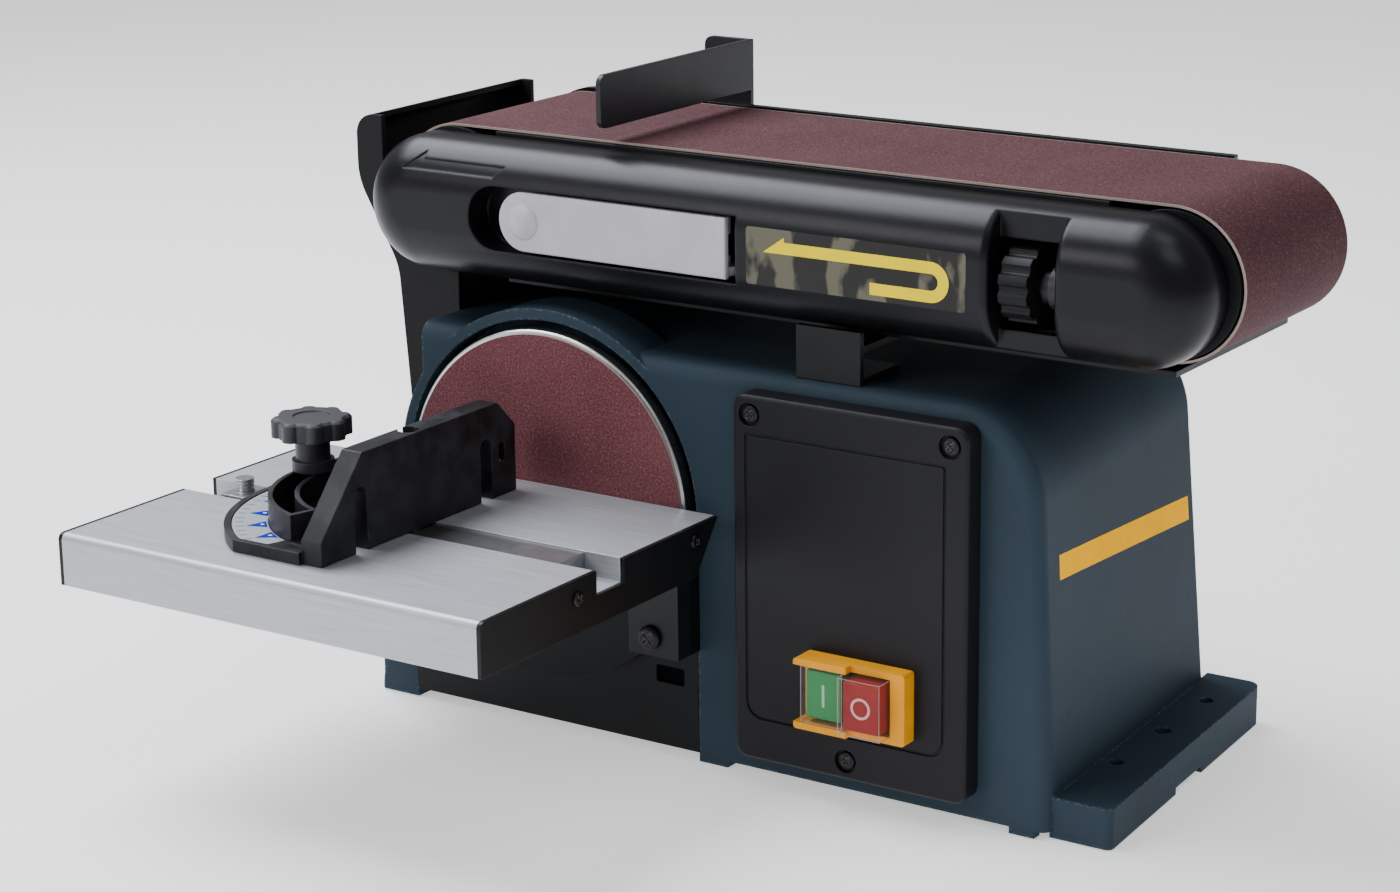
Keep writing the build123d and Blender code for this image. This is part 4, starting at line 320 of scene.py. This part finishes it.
def plain_coat(name, tint, roughness, specular=0.4):
    """A plain coloured moulding or casting with soft edges and a little tone."""
    f = Finish(name, specular=specular)
    f.set(base_color=f.clouded(darker(tint, 0.93), tint, scale=60))
    f.set(roughness=roughness + 0.06 * f.noise(400, 2))
    return f.bump(f.noise(1500, 1), distance=0.02, strength=0.2, radius=0.6)


def mirror_foil(name):
    """Dark glossy foil with upright olive patches, a painted reflection of a room as a polished label
    mirrors one.
    """
    f = Finish(name, specular=0.25)
    painted_reflection = f.ramp(f.noise(52, 3, stretch=(1.15, 1, 0.6)), 0.5, 0.56)
    dark = f.blend(f.noise(200, 2), colour(10, 10, 9), colour(26, 25, 21))
    f.set(base_color=f.blend(painted_reflection * 0.8, dark, colour(105, 101, 84)))
    f.set(roughness=0.14 + 0.1 * f.noise(150, 2))
    return f.bump(f.noise(300, 2), distance=0.03, strength=0.3)


def clear_plastic(name, tint, opacity):
    """Clear moulded plastic, a little hazy."""
    f = Finish(name, specular=0.4)
    haze = f.noise(180, 3)
    f.set(base_color=f.blend(haze, colour(*darker(tint, 0.9)), colour(*tint)))
    f.set(roughness=0.1 + 0.1 * haze, alpha=opacity + 0.06 * haze)
    return f.bump(haze, distance=0.02, strength=0.2)


LOOKS = [
    slate_paint(),
    moulded_black("cover_black", (10, 10, 12), (14, 14, 17), 0.28, grain=0.6, edge=1.6, specular=0.25),
    moulded_black("panel_black", (19, 19, 20), (25, 25, 27), 0.42, grain=0.5, edge=0.8, specular=0.2),
    moulded_black("hood_black", (20, 20, 21), (27, 27, 28), 0.46, grain=0.4, edge=0.8, specular=0.15),
    moulded_black("knob_black", (12, 12, 13), (17, 17, 19), 0.36, grain=0.3, edge=0.6, specular=0.2),
    # The knobs' black is raised to grey: a painted sheen standing in for the highlights on their tops.
    moulded_black("grip_painted_sheen", (46, 46, 50), (56, 56, 61), 0.42, grain=0.3, edge=0.9, specular=0.5),
    handled_black("gauge_black"),
    black_paint("black_paint", (13, 14, 16), (20, 21, 24), specular=0.22, worn_edge_glint=0.3),
    # The work stop's black is lighter and bluish: a painted reflection of the light from above left.
    black_paint("stop_painted_sheen", (24, 25, 29), (31, 32, 37), specular=0.3, worn_edge_glint=0.3),
    black_paint("plate_black", (14, 15, 17), (20, 21, 23), specular=0.14, worn_edge_glint=0.3),
    # The guard's strong edge lightening is a painted highlight along its rim.
    black_paint("guard_painted_rim_glint", (13, 14, 15), (18, 19, 20), specular=0.12, worn_edge_glint=0.9),
    brushed_metal("table_aluminium", (184, 187, 192), 0.42, DRAWN_X, painted_edge_light=0.6, metallic=0.6),
    brushed_metal("disc_aluminium", (205, 205, 205), 0.25, DRAWN_Y, painted_edge_light=0.3),
    brushed_metal("cast_aluminium", (150, 152, 155), 0.42, EVEN, painted_edge_light=0.2),
    plain_coat("lever_zinc", (193, 191, 199), 0.3),
    brushed_metal("bare_steel", (185, 187, 190), 0.28, DRAWN_Y, painted_edge_light=0.3),
    brushed_metal("dark_steel", (62, 62, 64), 0.42, EVEN, painted_edge_light=0.3),
    brushed_metal("screw_black", (46, 46, 48), 0.36, EVEN, painted_edge_light=0.3),
    brushed_metal("core_steel", (110, 110, 112), 0.5, STACKED, painted_edge_light=0.2),
    brushed_metal("copper_wire", (190, 115, 70), 0.4, WOUND, painted_edge_light=0.1),
    abrasive("belt_grain", (73, 43, 47), (83, 51, 55), (136, 97, 101), 0.2, low=34.9, high=134.1),
    abrasive("disc_grain", (104, 57, 63), (118, 68, 74), (172, 124, 126), 0.5, low=-9.0, high=0.4),
    moulded_black("rubber", (16, 16, 16), (23, 23, 23), 0.6, grain=0.6, edge=0.4, specular=0.25),
    plain_coat("case_white", (205, 205, 200), 0.4),
    plain_coat("switch_yellow", (246, 164, 6), 0.36, specular=0.2),
    plain_coat("button_green", (32, 141, 74), 0.4, specular=0.3),
    plain_coat("button_red", (150, 32, 33), 0.4, specular=0.1),
    clear_plastic("clear_cap", (205, 198, 192), opacity=0.02),
    clear_plastic("cap_highlight_frame", (196, 176, 168), opacity=0.5),
    printed_ink("mark_white", (222, 222, 218)),
    printed_ink("mark_mint", (168, 214, 190)),
    printed_ink("mark_rose", (226, 180, 182)),
    mirror_foil("label_foil"),
    printed_ink("arrow_yellow", (255, 226, 0), glow=0.02),
    printed_ink("stripe_yellow", (255, 184, 0), glow=0.25),
    brushed_metal("scale_plate", (176, 180, 184), 0.4, EVEN, painted_edge_light=0.2, metallic=0.5),
    printed_ink("scale_blue", (20, 52, 170)),
]
FINISHES = {look.name: look.material for look in LOOKS}

# The solids that have each finish
DRESS = {
    "slate_paint": ["base_casting", "pivot_bracket"],
    "cover_black": ["front_cover"],
    "panel_black": ["control_panel", "switch_body", "cable_gland"],
    "hood_black": ["dust_hood", "drive_cover"],
    "knob_black": ["tracking_knob", "cooling_fan", "idler_drum"],
    "grip_painted_sheen": ["table_lock_knob", "mitre_knob"],
    "gauge_black": ["mitre_head"],
    "black_paint": ["table_bracket_left", "table_bracket_right", "table_end_caps", "table_lugs",
                    "belt_guard", "belt_frame", "rest_bracket", "motor_housing", "platen"],
    "stop_painted_sheen": ["work_stop"],
    "guard_painted_rim_glint": ["lower_disc_guard"],
    "plate_black": ["front_plate"],
    "table_aluminium": ["table_top"],
    "disc_aluminium": ["disc_plate"],
    "cast_aluminium": ["motor_front_shield", "motor_rear_shield", "motor_pulley", "drum_pulley"],
    "dark_steel": ["idler_yoke"],
    "lever_zinc": ["tension_lever"],
    "bare_steel": ["mitre_bar", "mitre_pointer", "motor_shaft", "drum_shaft", "idler_axle", "lever_pin",
                   "tension_spring", "motor_bearings", "drum_bearings", "idler_bearings"],
    "screw_black": ["bracket_screws", "panel_screws", "end_cap_screws", "stop_screws"],
    "core_steel": ["stator_core", "rotor_core"],
    "copper_wire": ["stator_windings"],
    "belt_grain": ["sanding_belt"],
    "disc_grain": ["abrasive_disc"],
    "rubber": ["drive_belt", "drive_drum"],
    "case_white": ["start_capacitor"],
    "switch_yellow": ["switch_frame"],
    "button_green": ["on_button"],
    "button_red": ["off_button"],
}


def dress(mesh, finish):
    """Give a mesh one finish."""
    mesh.materials.clear()
    mesh.materials.append(FINISHES[finish])


def dress_solids():
    """Give every solid of the frame its finish."""
    for finish, names in DRESS.items():
        for name in names:
            dress(nodes[name].data, finish)


# Added pieces: how they are made


def add_mesh(name, mesh, finish, body, slot, *stands_for):
    """Turn a mesh in the frame's metres into a piece that rides on a body."""
    dress(mesh, finish)
    piece = bpy.data.objects.new(name, mesh)
    bpy.context.scene.collection.objects.link(piece)
    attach(piece, body)
    if stands_for:
        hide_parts(*stands_for)
    return piece


def add_piece(name, bm, finish, body, slot, *stands_for):
    """Turn a bmesh drawn in millimetres into a piece that rides on a body."""
    bmesh.ops.recalc_face_normals(bm, faces=bm.faces)
    for vert in bm.verts:
        vert.co = at(*vert.co)
    mesh = bpy.data.meshes.new(name)
    bm.to_mesh(mesh)
    bm.free()
    add_mesh(name, mesh, finish, body, slot, *stands_for)


def upright(x, z, depth):
    """A point of an outline that stands facing the front."""
    return x, depth, z


def level(x, y, height):
    """A point of an outline that lies level."""
    return x, y, height


def slab(outline, place, near, far):
    """A bmesh slab of a flat outline between two depths or heights."""
    bm = bmesh.new()
    front = [bm.verts.new(place(a, b, near)) for a, b in outline]
    back = [bm.verts.new(place(a, b, far)) for a, b in outline]
    bm.faces.new(front)
    bm.faces.new(back[::-1])
    for i in range(len(outline)):
        bm.faces.new((front[i - 1], front[i], back[i], back[i - 1]))
    return bm


# Ends of a strip nearer than this, in millimetres, are one
STRIP_JOIN = 0.001


def strip(section, steps):
    """A bmesh band with four corners at each section(u), u from 0 to 1, joined where it meets itself."""
    bm = bmesh.new()
    rings = [[bm.verts.new(corner) for corner in section(i / steps)] for i in range(steps + 1)]
    for low, high in zip(rings, rings[1:]):
        for i in range(4):
            bm.faces.new((low[i - 1], low[i], high[i], high[i - 1]))
    if (rings[0][0].co - rings[-1][0].co).length > STRIP_JOIN:
        bm.faces.new(rings[0])
        bm.faces.new(rings[-1][::-1])
    else:
        bmesh.ops.remove_doubles(bm, verts=bm.verts[:], dist=STRIP_JOIN)
    return bm


def turned(profile, x, z, sides):
    """A bmesh turned about a line along y from (radius, y) points, smooth up to its last ring."""
    bm = bmesh.new()
    turns = [2 * math.pi * i / sides for i in range(sides)]
    rings = []
    for radius, y in profile[1:-1]:
        places = [(x + radius * math.cos(turn), y, z + radius * math.sin(turn)) for turn in turns]
        rings.append([bm.verts.new(place) for place in places])
    for low, high in zip(rings, rings[1:]):
        for i in range(sides):
            face = bm.faces.new((low[i - 1], low[i], high[i], high[i - 1]))
            face.smooth = high is not rings[-1]
    for ring, end in ((rings[0], profile[0]), (rings[-1], profile[-1])):
        pole = bm.verts.new((x, end[1], z))
        for i in range(sides):
            bm.faces.new((ring[i - 1], ring[i], pole)).smooth = ring is rings[0]
    return bm


def box(low, high):
    """A bmesh box with sharp edges."""
    bm = bmesh.new()
    bmesh.ops.create_cube(bm, size=2.0)
    for vert in bm.verts:
        vert.co = [high[i] if vert.co[i] > 0 else low[i] for i in range(3)]
    return bm


def soft_box(low, high, edge):
    """A bmesh box with rounded edges."""
    bm = box(low, high)
    bmesh.ops.bevel(bm, geom=bm.edges[:], offset=edge, segments=3, affect="EDGES", profile=0.5)
    return bm


def arc(x, y, radius, start, stop, steps):
    """Points along a circle's arc, with angles in degrees."""
    turns = [math.radians(start + (stop - start) * i / steps) for i in range(steps + 1)]
    return [(x + radius * math.cos(turn), y + radius * math.sin(turn)) for turn in turns]


CORNER_STEPS = 6


def rounded(x0, x1, y0, y1, radius):
    """A rectangle's outline with round corners."""
    corners = ((x1, y1, 0), (x0, y1, 90), (x0, y0, 180), (x1, y0, 270))
    outline = []
    for x, y, start in corners:
        inner_x = x - radius if x == x1 else x + radius
        inner_y = y - radius if y == y1 else y + radius
        outline += arc(inner_x, inner_y, radius, start, start + 90, CORNER_STEPS)
    return outline


# How far a printed mark stands out from what carries it, and reaches into it
INK = 0.12

# The cover's label: its left, right, low and high edges, its corners, and its face and back
# against the cover's front
LABEL = (107.0, 212.0, 220.6, 245.2)
LABEL_CORNER = 1.5
LABEL_PROUD = 0.2
LABEL_SEAT = 0.8

# The arrow on it: x of the tip, of the barb's back, of the tail's end and of the bend's centre,
# height of the upper edge, width of the line, rise of the barb, outer radius of the bend
ARROW_TIP = 115.5
ARROW_NECK = 125.8
ARROW_FOOT = 167.3
ARROW_TURN = 195.8
ARROW_TOP = 240.0
ARROW_WIDTH = 5.0
ARROW_BARB = 2.1
ARROW_BEND = 8.5
OUTER_STEPS = 18
INNER_STEPS = 14


def add_label():
    """The foil label on the cover with a plain one-barbed arrow that turns back on itself."""
    front = span("front_cover")[0].y
    face = front - LABEL_PROUD
    plate = slab(rounded(*LABEL, LABEL_CORNER), upright, face, front + LABEL_SEAT)
    add_piece("cover_label", plate, "label_foil", "belt_unit", "black_plastic")
    low = ARROW_TOP - ARROW_WIDTH
    mid = ARROW_TOP - ARROW_BEND
    foot = mid - ARROW_BEND
    outline = [(ARROW_TIP, low), (ARROW_NECK, ARROW_TOP + ARROW_BARB), (ARROW_NECK, ARROW_TOP)]
    outline += arc(ARROW_TURN, mid, ARROW_BEND, 90, -90, OUTER_STEPS)
    outline += [(ARROW_FOOT, foot), (ARROW_FOOT, foot + ARROW_WIDTH)]
    outline += arc(ARROW_TURN, mid, ARROW_BEND - ARROW_WIDTH, -90, 90, INNER_STEPS)
    mark = slab(outline, upright, face - INK, face + INK)
    add_piece("label_arrow", mark, "arrow_yellow", "belt_unit", "switch_yellow")


# The low round boss near the lever's free end: its radius, rise and seat in the lever
BOSS_R = 8.0
BOSS_PROUD = 2.2
BOSS_SEAT = 0.3
BOSS_STEPS = 8
BOSS_SIDES = 48


def add_lever_boss():
    """The thumb boss on the tension lever, a shallow dome."""
    low, high = span("tension_lever")
    half = (high.z - low.z) / 2
    dome_r = (BOSS_R ** 2 + BOSS_PROUD ** 2) / (2 * BOSS_PROUD)
    profile = []
    for i in range(BOSS_STEPS + 1):
        radius = BOSS_R * i / BOSS_STEPS
        rise = math.sqrt(dome_r ** 2 - radius ** 2) - dome_r + BOSS_PROUD
        profile.append((radius, low.y - rise))
    profile += [(BOSS_R, low.y + BOSS_SEAT), (0.0, low.y + BOSS_SEAT)]
    boss = turned(profile, low.x + half, low.z + half, BOSS_SIDES)
    add_piece("lever_boss", boss, "lever_zinc", "tension_lever", "lever_zinc")


# The stripe on the end wall: y and the heights of its lower and upper edge, at its front and rear end
STRIPE_FRONT = (22.5, 107.9, 118.6)
STRIPE_REAR = (165.5, 94.9, 105.8)
STRIPE_STEPS = 40

# An x well to the right of the part, from which its right side is felt for
BEYOND_RIGHT = 600.0


def wall_of(node):
    """A function that gives the outermost x of a solid at a place seen from its right side."""
    bm = bmesh.new()
    bm.from_mesh(nodes[node].data)
    tree = BVHTree.FromBMesh(bm)
    bm.free()

    def wall(y, z):
        spot = tree.ray_cast(at(BEYOND_RIGHT, y, z), Vector((-1, 0, 0)))[0]
        return spot.x / MM + BOLT_MID.x
    return wall


def add_stripe():
    """The plain painted stripe across the end wall, laid on the casting's own face."""
    wall = wall_of("base_casting")

    def section(u):
        y, low, high = (a + (b - a) * u for a, b in zip(STRIPE_FRONT, STRIPE_REAR))
        foot, head = wall(y, low), wall(y, high)
        corners = ((foot - INK, low), (foot + INK, low), (head + INK, high), (head - INK, high))
        return [(x, y, z) for x, z in corners]
    band = strip(section, STRIPE_STEPS)
    add_piece("end_stripe", band, "stripe_yellow", "base", "switch_yellow")


# Corners of a solid's triangles nearer than this, in metres, are one corner
WELD = 1e-6


def merged(node):
    """A bmesh of a solid of the frame, in metres, with its triangles joined up."""
    bm = bmesh.new()
    bm.from_mesh(nodes[node].data)
    bmesh.ops.remove_doubles(bm, verts=bm.verts[:], dist=WELD)
    return bm


def add_copy(name, bm, body, node):
    """A steel piece that stands for a solid, from a changed copy of it."""
    mesh = bpy.data.meshes.new(name)
    bm.to_mesh(mesh)
    bm.free()
    return add_mesh(name, mesh, "bare_steel", body, "bare_steel", node)


# Where the guide bar ends in the slot, to the right of the fence
BAR_END = 74.0


def add_guide_bar():
    """The mitre gauge's bar, run on in the slot towards the right end of the table."""
    bm = merged("mitre_bar")
    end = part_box("mitre_bar")[1].x
    for vert in bm.verts:
        if end - vert.co.x < WELD:
            vert.co.x = at(BAR_END, 0, 0).x
    add_copy("guide_bar", bm, "mitre_bar", "mitre_bar")


def add_spring():
    """The tension spring as a smooth steel copy on the belt unit; the share of its length kept at the
    idler's full stroke is worked out but not used.
    """
    bm = merged("tension_spring")
    for face in bm.faces:
        face.smooth = True
    spring = add_copy("coil_spring", bm, "belt_unit", "tension_spring")
    low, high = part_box("tension_spring")
    slide = next(joint for joint in frame["joints"] if joint["name"] == "idler_slide")
    stroke = max(slide["range_m"]) - min(slide["range_m"])
    kept = 1 - stroke / (high.x - low.x)
    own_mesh(spring)


# The push buttons: how far the clear cap stands out past the solid, its rounding and the thickness
# of the pale frame on its edges, a painted highlight; the core's gap to the cap, its seat at the back
# and its rounding
CAP_PROUD = 2.2
CAP_ROUND = 0.5
CAP_EDGE = 0.45
CORE_INSET = Vector((1.6, 1.7, 1.8))
CORE_SEAT = 0.3
CORE_ROUND = 0.6

# Their marks
BAR_HALF_W = 0.6
BAR_HALF_H = 5.0
BAR_CORNER = 0.4
RING_IN = 3.6
RING_OUT = 4.7
RING_STEPS = 40


def bar_mark(x, z, face):
    """The upright bar of an on button."""
    outline = rounded(x - BAR_HALF_W, x + BAR_HALF_W, z - BAR_HALF_H, z + BAR_HALF_H, BAR_CORNER)
    return slab(outline, upright, face - INK, face + INK)


def ring_mark(x, z, face):
    """The ring of an off button, wound as one strip."""
    near, far = face - INK, face + INK
    corners = ((RING_IN, near), (RING_OUT, near), (RING_OUT, far), (RING_IN, far))

    def section(u):
        turn = 2 * math.pi * u
        return [(x + radius * math.cos(turn), y, z + radius * math.sin(turn)) for radius, y in corners]
    return strip(section, RING_STEPS)


def add_button(node, finish, mark, mark_finish):
    """A push button: a coloured core with its mark, under a clear cap whose edges carry a pale frame as
    a painted highlight.
    """
    low, high = span(node)
    low.y -= CAP_PROUD
    core_low = low + CORE_INSET
    core_high = high - CORE_INSET
    core_high.y = high.y - CORE_SEAT
    add_piece(node + "_core", soft_box(core_low, core_high, CORE_ROUND), finish, node, finish, node)
    add_piece(node + "_cap", soft_box(low, high, CAP_ROUND), "clear_cap", node, finish)
    # A pale half-clear frame along the cap's edges: a painted highlight.
    edges = box(low, high)
    sizes = {"thickness": CAP_EDGE, "offset": 0.0, "use_replace": True, "use_even_offset": True}
    bmesh.ops.wireframe(edges, faces=edges.faces[:], **sizes)
    add_piece(node + "_edges", edges, "cap_highlight_frame", node, finish)
    middle = (low + high) / 2
    add_piece(node + "_mark", mark(middle.x, middle.z, core_low.y), mark_finish, node, finish)


# The mitre scale: its centre, inner and outer radius, half width and half angle in degrees,
# the floor it lies on, its thickness and how far it reaches into that floor
SCALE_X = -9.5
SCALE_Y = -81.8
SCALE_IN = 60.5
SCALE_OUT = 75.6
SCALE_HALF = 64.6
SCALE_REACH = 69
SCALE_Z = 122.2
SCALE_T = 0.25
SCALE_SEAT = 0.02
SCALE_STEPS = 48

# Its wide and fine divisions, in degrees, and how many of each lie to either side of the middle
WIDE = 15
WIDE_SIDE = 4
FINE = 5
FINE_SIDE = 12


def arc_marks(name, make_mark):
    """A node tree that sets like marks along an arc, each turned to point outwards."""
    tree = bpy.data.node_groups.new(name, "GeometryNodeTree")
    sockets = {}
    kinds = {"Centre": "Vector", "Radius": "Float", "Start": "Float", "Step": "Float", "Count": "Int",
             "Length": "Float", "Width": "Float", "Thickness": "Float", "Material": "Material"}
    for label, kind in kinds.items():
        kind = "NodeSocket" + kind
        sockets[label] = tree.interface.new_socket(label, in_out="INPUT", socket_type=kind)
    tree.interface.new_socket("Geometry", in_out="OUTPUT", socket_type="NodeSocketGeometry")
    inputs = tree.nodes.new("NodeGroupInput").outputs

    def node(kind, settings=None, **links):
        made = tree.nodes.new(kind)
        for key, value in (settings or {}).items():
            setattr(made, key, value)
        for key, value in links.items():
            socket = made.inputs[int(key[1:]) if key[1:].isdigit() else key]
            if isinstance(value, bpy.types.NodeSocket):
                tree.links.new(value, socket)
            else:
                socket.default_value = value
        return made

    def sums(operation, first, second):
        return node("ShaderNodeMath", {"operation": operation}, n0=first, n1=second).outputs[0]

    index = node("GeometryNodeInputIndex").outputs[0]
    angle = sums("ADD", inputs["Start"], sums("MULTIPLY", index, inputs["Step"]))
    along = sums("MULTIPLY", inputs["Radius"], sums("COSINE", angle, 0.0))
    across = sums("MULTIPLY", inputs["Radius"], sums("SINE", angle, 0.0))
    spot = node("ShaderNodeCombineXYZ", X=along, Y=across).outputs[0]
    turn = node("ShaderNodeCombineXYZ", Z=angle).outputs[0]
    row = node("GeometryNodeMeshLine", Count=inputs["Count"], Offset=(0, 0, 0)).outputs[0]
    points = node("GeometryNodeSetPosition", Geometry=row, Position=spot).outputs[0]
    mark = make_mark(node, inputs)
    marks = node("GeometryNodeInstanceOnPoints", Points=points, Instance=mark, Rotation=turn).outputs[0]
    moved = node("GeometryNodeTransform", Geometry=marks, Translation=inputs["Centre"]).outputs[0]
    real = node("GeometryNodeRealizeInstances", Geometry=moved).outputs[0]
    dressed = node("GeometryNodeSetMaterial", Geometry=real, Material=inputs["Material"]).outputs[0]
    tree.links.new(dressed, tree.nodes.new("NodeGroupOutput").inputs[0])
    return tree, sockets


def bar_in_tree(node, inputs):
    """A small flat bar along the radius."""
    size = node("ShaderNodeCombineXYZ", X=inputs["Length"], Y=inputs["Width"], Z=inputs["Thickness"])
    return node("GeometryNodeMeshCube", Size=size.outputs[0]).outputs[0]


def wedge_in_tree(node, inputs):
    """A flat triangle that points outwards."""
    prism = node("GeometryNodeMeshCylinder", Vertices=3, Radius=1.0, Depth=1.0).outputs[0]
    size = node("ShaderNodeCombineXYZ", X=inputs["Length"], Y=inputs["Width"], Z=inputs["Thickness"])
    return node("GeometryNodeTransform", Geometry=prism, Scale=size.outputs[0]).outputs[0]


def dot_in_tree(node, inputs):
    """A round dot."""
    sizes = {"Radius": inputs["Length"], "Depth": inputs["Thickness"]}
    return node("GeometryNodeMeshCylinder", Vertices=16, **sizes).outputs[0]


def grow_marks(name, make_mark, finish, body, slot, **sizes):
    """Run a tree of marks and keep its result as a plain piece."""
    tree, sockets = arc_marks(name + "_tree", make_mark)
    holder = bpy.data.objects.new(name + "_holder", bpy.data.meshes.new(name + "_holder"))
    bpy.context.scene.collection.objects.link(holder)
    modifier = holder.modifiers.new("marks", "NODES")
    modifier.node_group = tree
    sizes["Material"] = FINISHES[finish]
    for label, value in sizes.items():
        modifier[sockets[label].identifier] = value
    graph = bpy.context.evaluated_depsgraph_get()
    mesh = bpy.data.meshes.new_from_object(holder.evaluated_get(graph))
    holder.modifiers.remove(modifier)
    bpy.data.objects.remove(holder)
    mesh.name = name
    add_mesh(name, mesh, finish, body, slot)


def divisions(step, each_side):
    """The angles of a row of marks about the scale's middle, from a step in degrees."""
    step = math.radians(step)
    return {"Start": math.pi - each_side * step, "Step": step, "Count": 2 * each_side + 1}


def add_scale():
    """The protractor scale sunk in the mitre head: a pale plate with wedges, dots and fine ticks."""
    outer = []
    inner = []
    for i in range(SCALE_STEPS + 1):
        angle = math.radians(180 - SCALE_REACH + 2 * SCALE_REACH * i / SCALE_STEPS)
        reach = min(SCALE_OUT, SCALE_HALF / max(abs(math.sin(angle)), 0.01))
        outer.append((SCALE_X + reach * math.cos(angle), SCALE_Y + reach * math.sin(angle)))
        inner.append((SCALE_X + SCALE_IN * math.cos(angle), SCALE_Y + SCALE_IN * math.sin(angle)))
    top = SCALE_Z + SCALE_T
    plate = slab(outer + inner[::-1], level, top, SCALE_Z - SCALE_SEAT)
    add_piece("mitre_scale", plate, "scale_plate", "mitre_head", "aluminium")

    def grow(name, mark, finish, slot, angles, lift, radius, length, width=0.0):
        sizes = {"Radius": radius, "Length": length, "Width": width, "Thickness": INK}
        sizes = {label: size * MM for label, size in sizes.items()}
        centre = tuple(at(SCALE_X, SCALE_Y, top + lift))
        grow_marks(name, mark, finish, "mitre_head", slot, Centre=centre, **sizes, **angles)

    wide = divisions(WIDE, WIDE_SIDE)
    fine = divisions(FINE, FINE_SIDE)
    wedges = {"lift": 0.05, "radius": 63.9, "length": 5.7, "width": 4.8}
    dots = {"lift": 0.1, "radius": 62.9, "length": 0.9}
    ticks = {"lift": 0.02, "radius": 72.6, "length": 3.6, "width": 0.35}
    grow("scale_wedges", wedge_in_tree, "scale_blue", "base_paint", wide, **wedges)
    grow("scale_dots", dot_in_tree, "mark_white", "aluminium", wide, **dots)
    grow("scale_ticks", bar_in_tree, "scale_blue", "base_paint", fine, **ticks)


# Studio

# The photograph's viewpoint: lens and sensor in millimetres, shift, eye, a place ahead and roll
LENS = 83.4
SENSOR = 36.0
SHIFT = (-0.0271, -0.0129)
EYE = (831.19, -1109.14, 526.55)
AHEAD = (64.31, 59.61, 137.70)
ROLL = -0.009

# The softboxes, in metres and watts: name, place, aim, width, height, power and tint
SOFTBOXES = (
    ("top_box", (-1.0, 0.0, 1.7), (0, 0, 0.2), 1.5, 1.3, 62.0, (0.92, 0.94, 1.0)),
    ("front_box", (-0.9, -1.9, 1.1), (0, 0, 0.15), 0.9, 0.8, 14.0, (1.0, 1.0, 1.0)),
    ("right_box", (1.0, -0.6, 1.7), (0.1, 0, 0.1), 0.8, 0.8, 5.5, (0.96, 0.98, 1.0)),
    ("over_box", (0.5, 0.1, 2.2), (0.15, 0, 0), 0.7, 0.7, 5.0, (0.96, 0.98, 1.0)),
)

# The room's light, and the floor's half width, drop under the feet, tones and glow
ROOM_TINT = (0.96, 0.97, 1.0, 1.0)
ROOM_STRENGTH = 0.3
FLOOR_HALF = 6.0
FLOOR_DROP = 0.0005
FLOOR_TONES = ((0.86, 0.86, 0.86, 1), (0.89, 0.89, 0.89, 1))
FLOOR_GLOW = 0.62


def add_camera():
    """A camera at the photograph's viewpoint."""
    data = bpy.data.cameras.new("photo_camera")
    data.lens = LENS
    data.sensor_width = SENSOR
    data.shift_x, data.shift_y = SHIFT
    camera = bpy.data.objects.new("photo_camera", data)
    bpy.context.scene.collection.objects.link(camera)
    eye = at(*EYE)
    ahead = (at(*AHEAD) - eye).normalized()
    right = ahead.cross(Vector((0, 0, 1))).normalized()
    up = right.cross(ahead)
    side = right * math.cos(ROLL) + up * math.sin(ROLL)
    top = up * math.cos(ROLL) - right * math.sin(ROLL)
    matrix = Matrix((side, top, -ahead)).transposed().to_4x4()
    matrix.translation = eye
    camera.matrix_world = matrix
    bpy.context.scene.camera = camera


def add_room():
    """A pale room all round."""
    world = bpy.data.worlds.new("pale_room")
    bpy.context.scene.world = world
    world.use_nodes = True
    room = world.node_tree.nodes["Background"]
    room.inputs["Color"].default_value = ROOM_TINT
    room.inputs["Strength"].default_value = ROOM_STRENGTH


def add_softbox(name, place, aim, width, height, watts, tint):
    """One rectangular soft light."""
    data = bpy.data.lights.new(name, "AREA")
    data.shape = "RECTANGLE"
    data.size = width
    data.size_y = height
    data.energy = watts
    data.color = tint
    light = bpy.data.objects.new(name, data)
    bpy.context.scene.collection.objects.link(light)
    light.location = place
    light.rotation_euler = (Vector(aim) - Vector(place)).to_track_quat("-Z", "Y").to_euler()


def add_floor():
    """A pale floor just under the feet."""
    mesh = bpy.data.meshes.new("pale_floor")
    half = FLOOR_HALF
    corners = [(-half, -half, 0), (half, -half, 0), (half, half, 0), (-half, half, 0)]
    mesh.from_pydata(corners, [], [(0, 1, 2, 3)])
    floor = bpy.data.objects.new("pale_floor", mesh)
    floor.location.z = -FLOOR_DROP
    bpy.context.scene.collection.objects.link(floor)
    f = Finish("floor_white", specular=0.1, emission_color=(1, 1, 1, 1), emission_strength=FLOOR_GLOW)
    f.set(base_color=f.blend(f.noise(3, 2), *FLOOR_TONES), roughness=0.8 + 0.05 * f.noise(40, 2))
    mesh.materials.append(f.material)


dress_solids()
add_label()
add_lever_boss()
add_stripe()
add_guide_bar()
add_spring()
add_button("on_button", "button_green", bar_mark, "mark_mint")
add_button("off_button", "button_red", ring_mark, "mark_rose")
add_scale()
add_camera()
add_room()
for softbox in SOFTBOXES:
    add_softbox(*softbox)
add_floor()
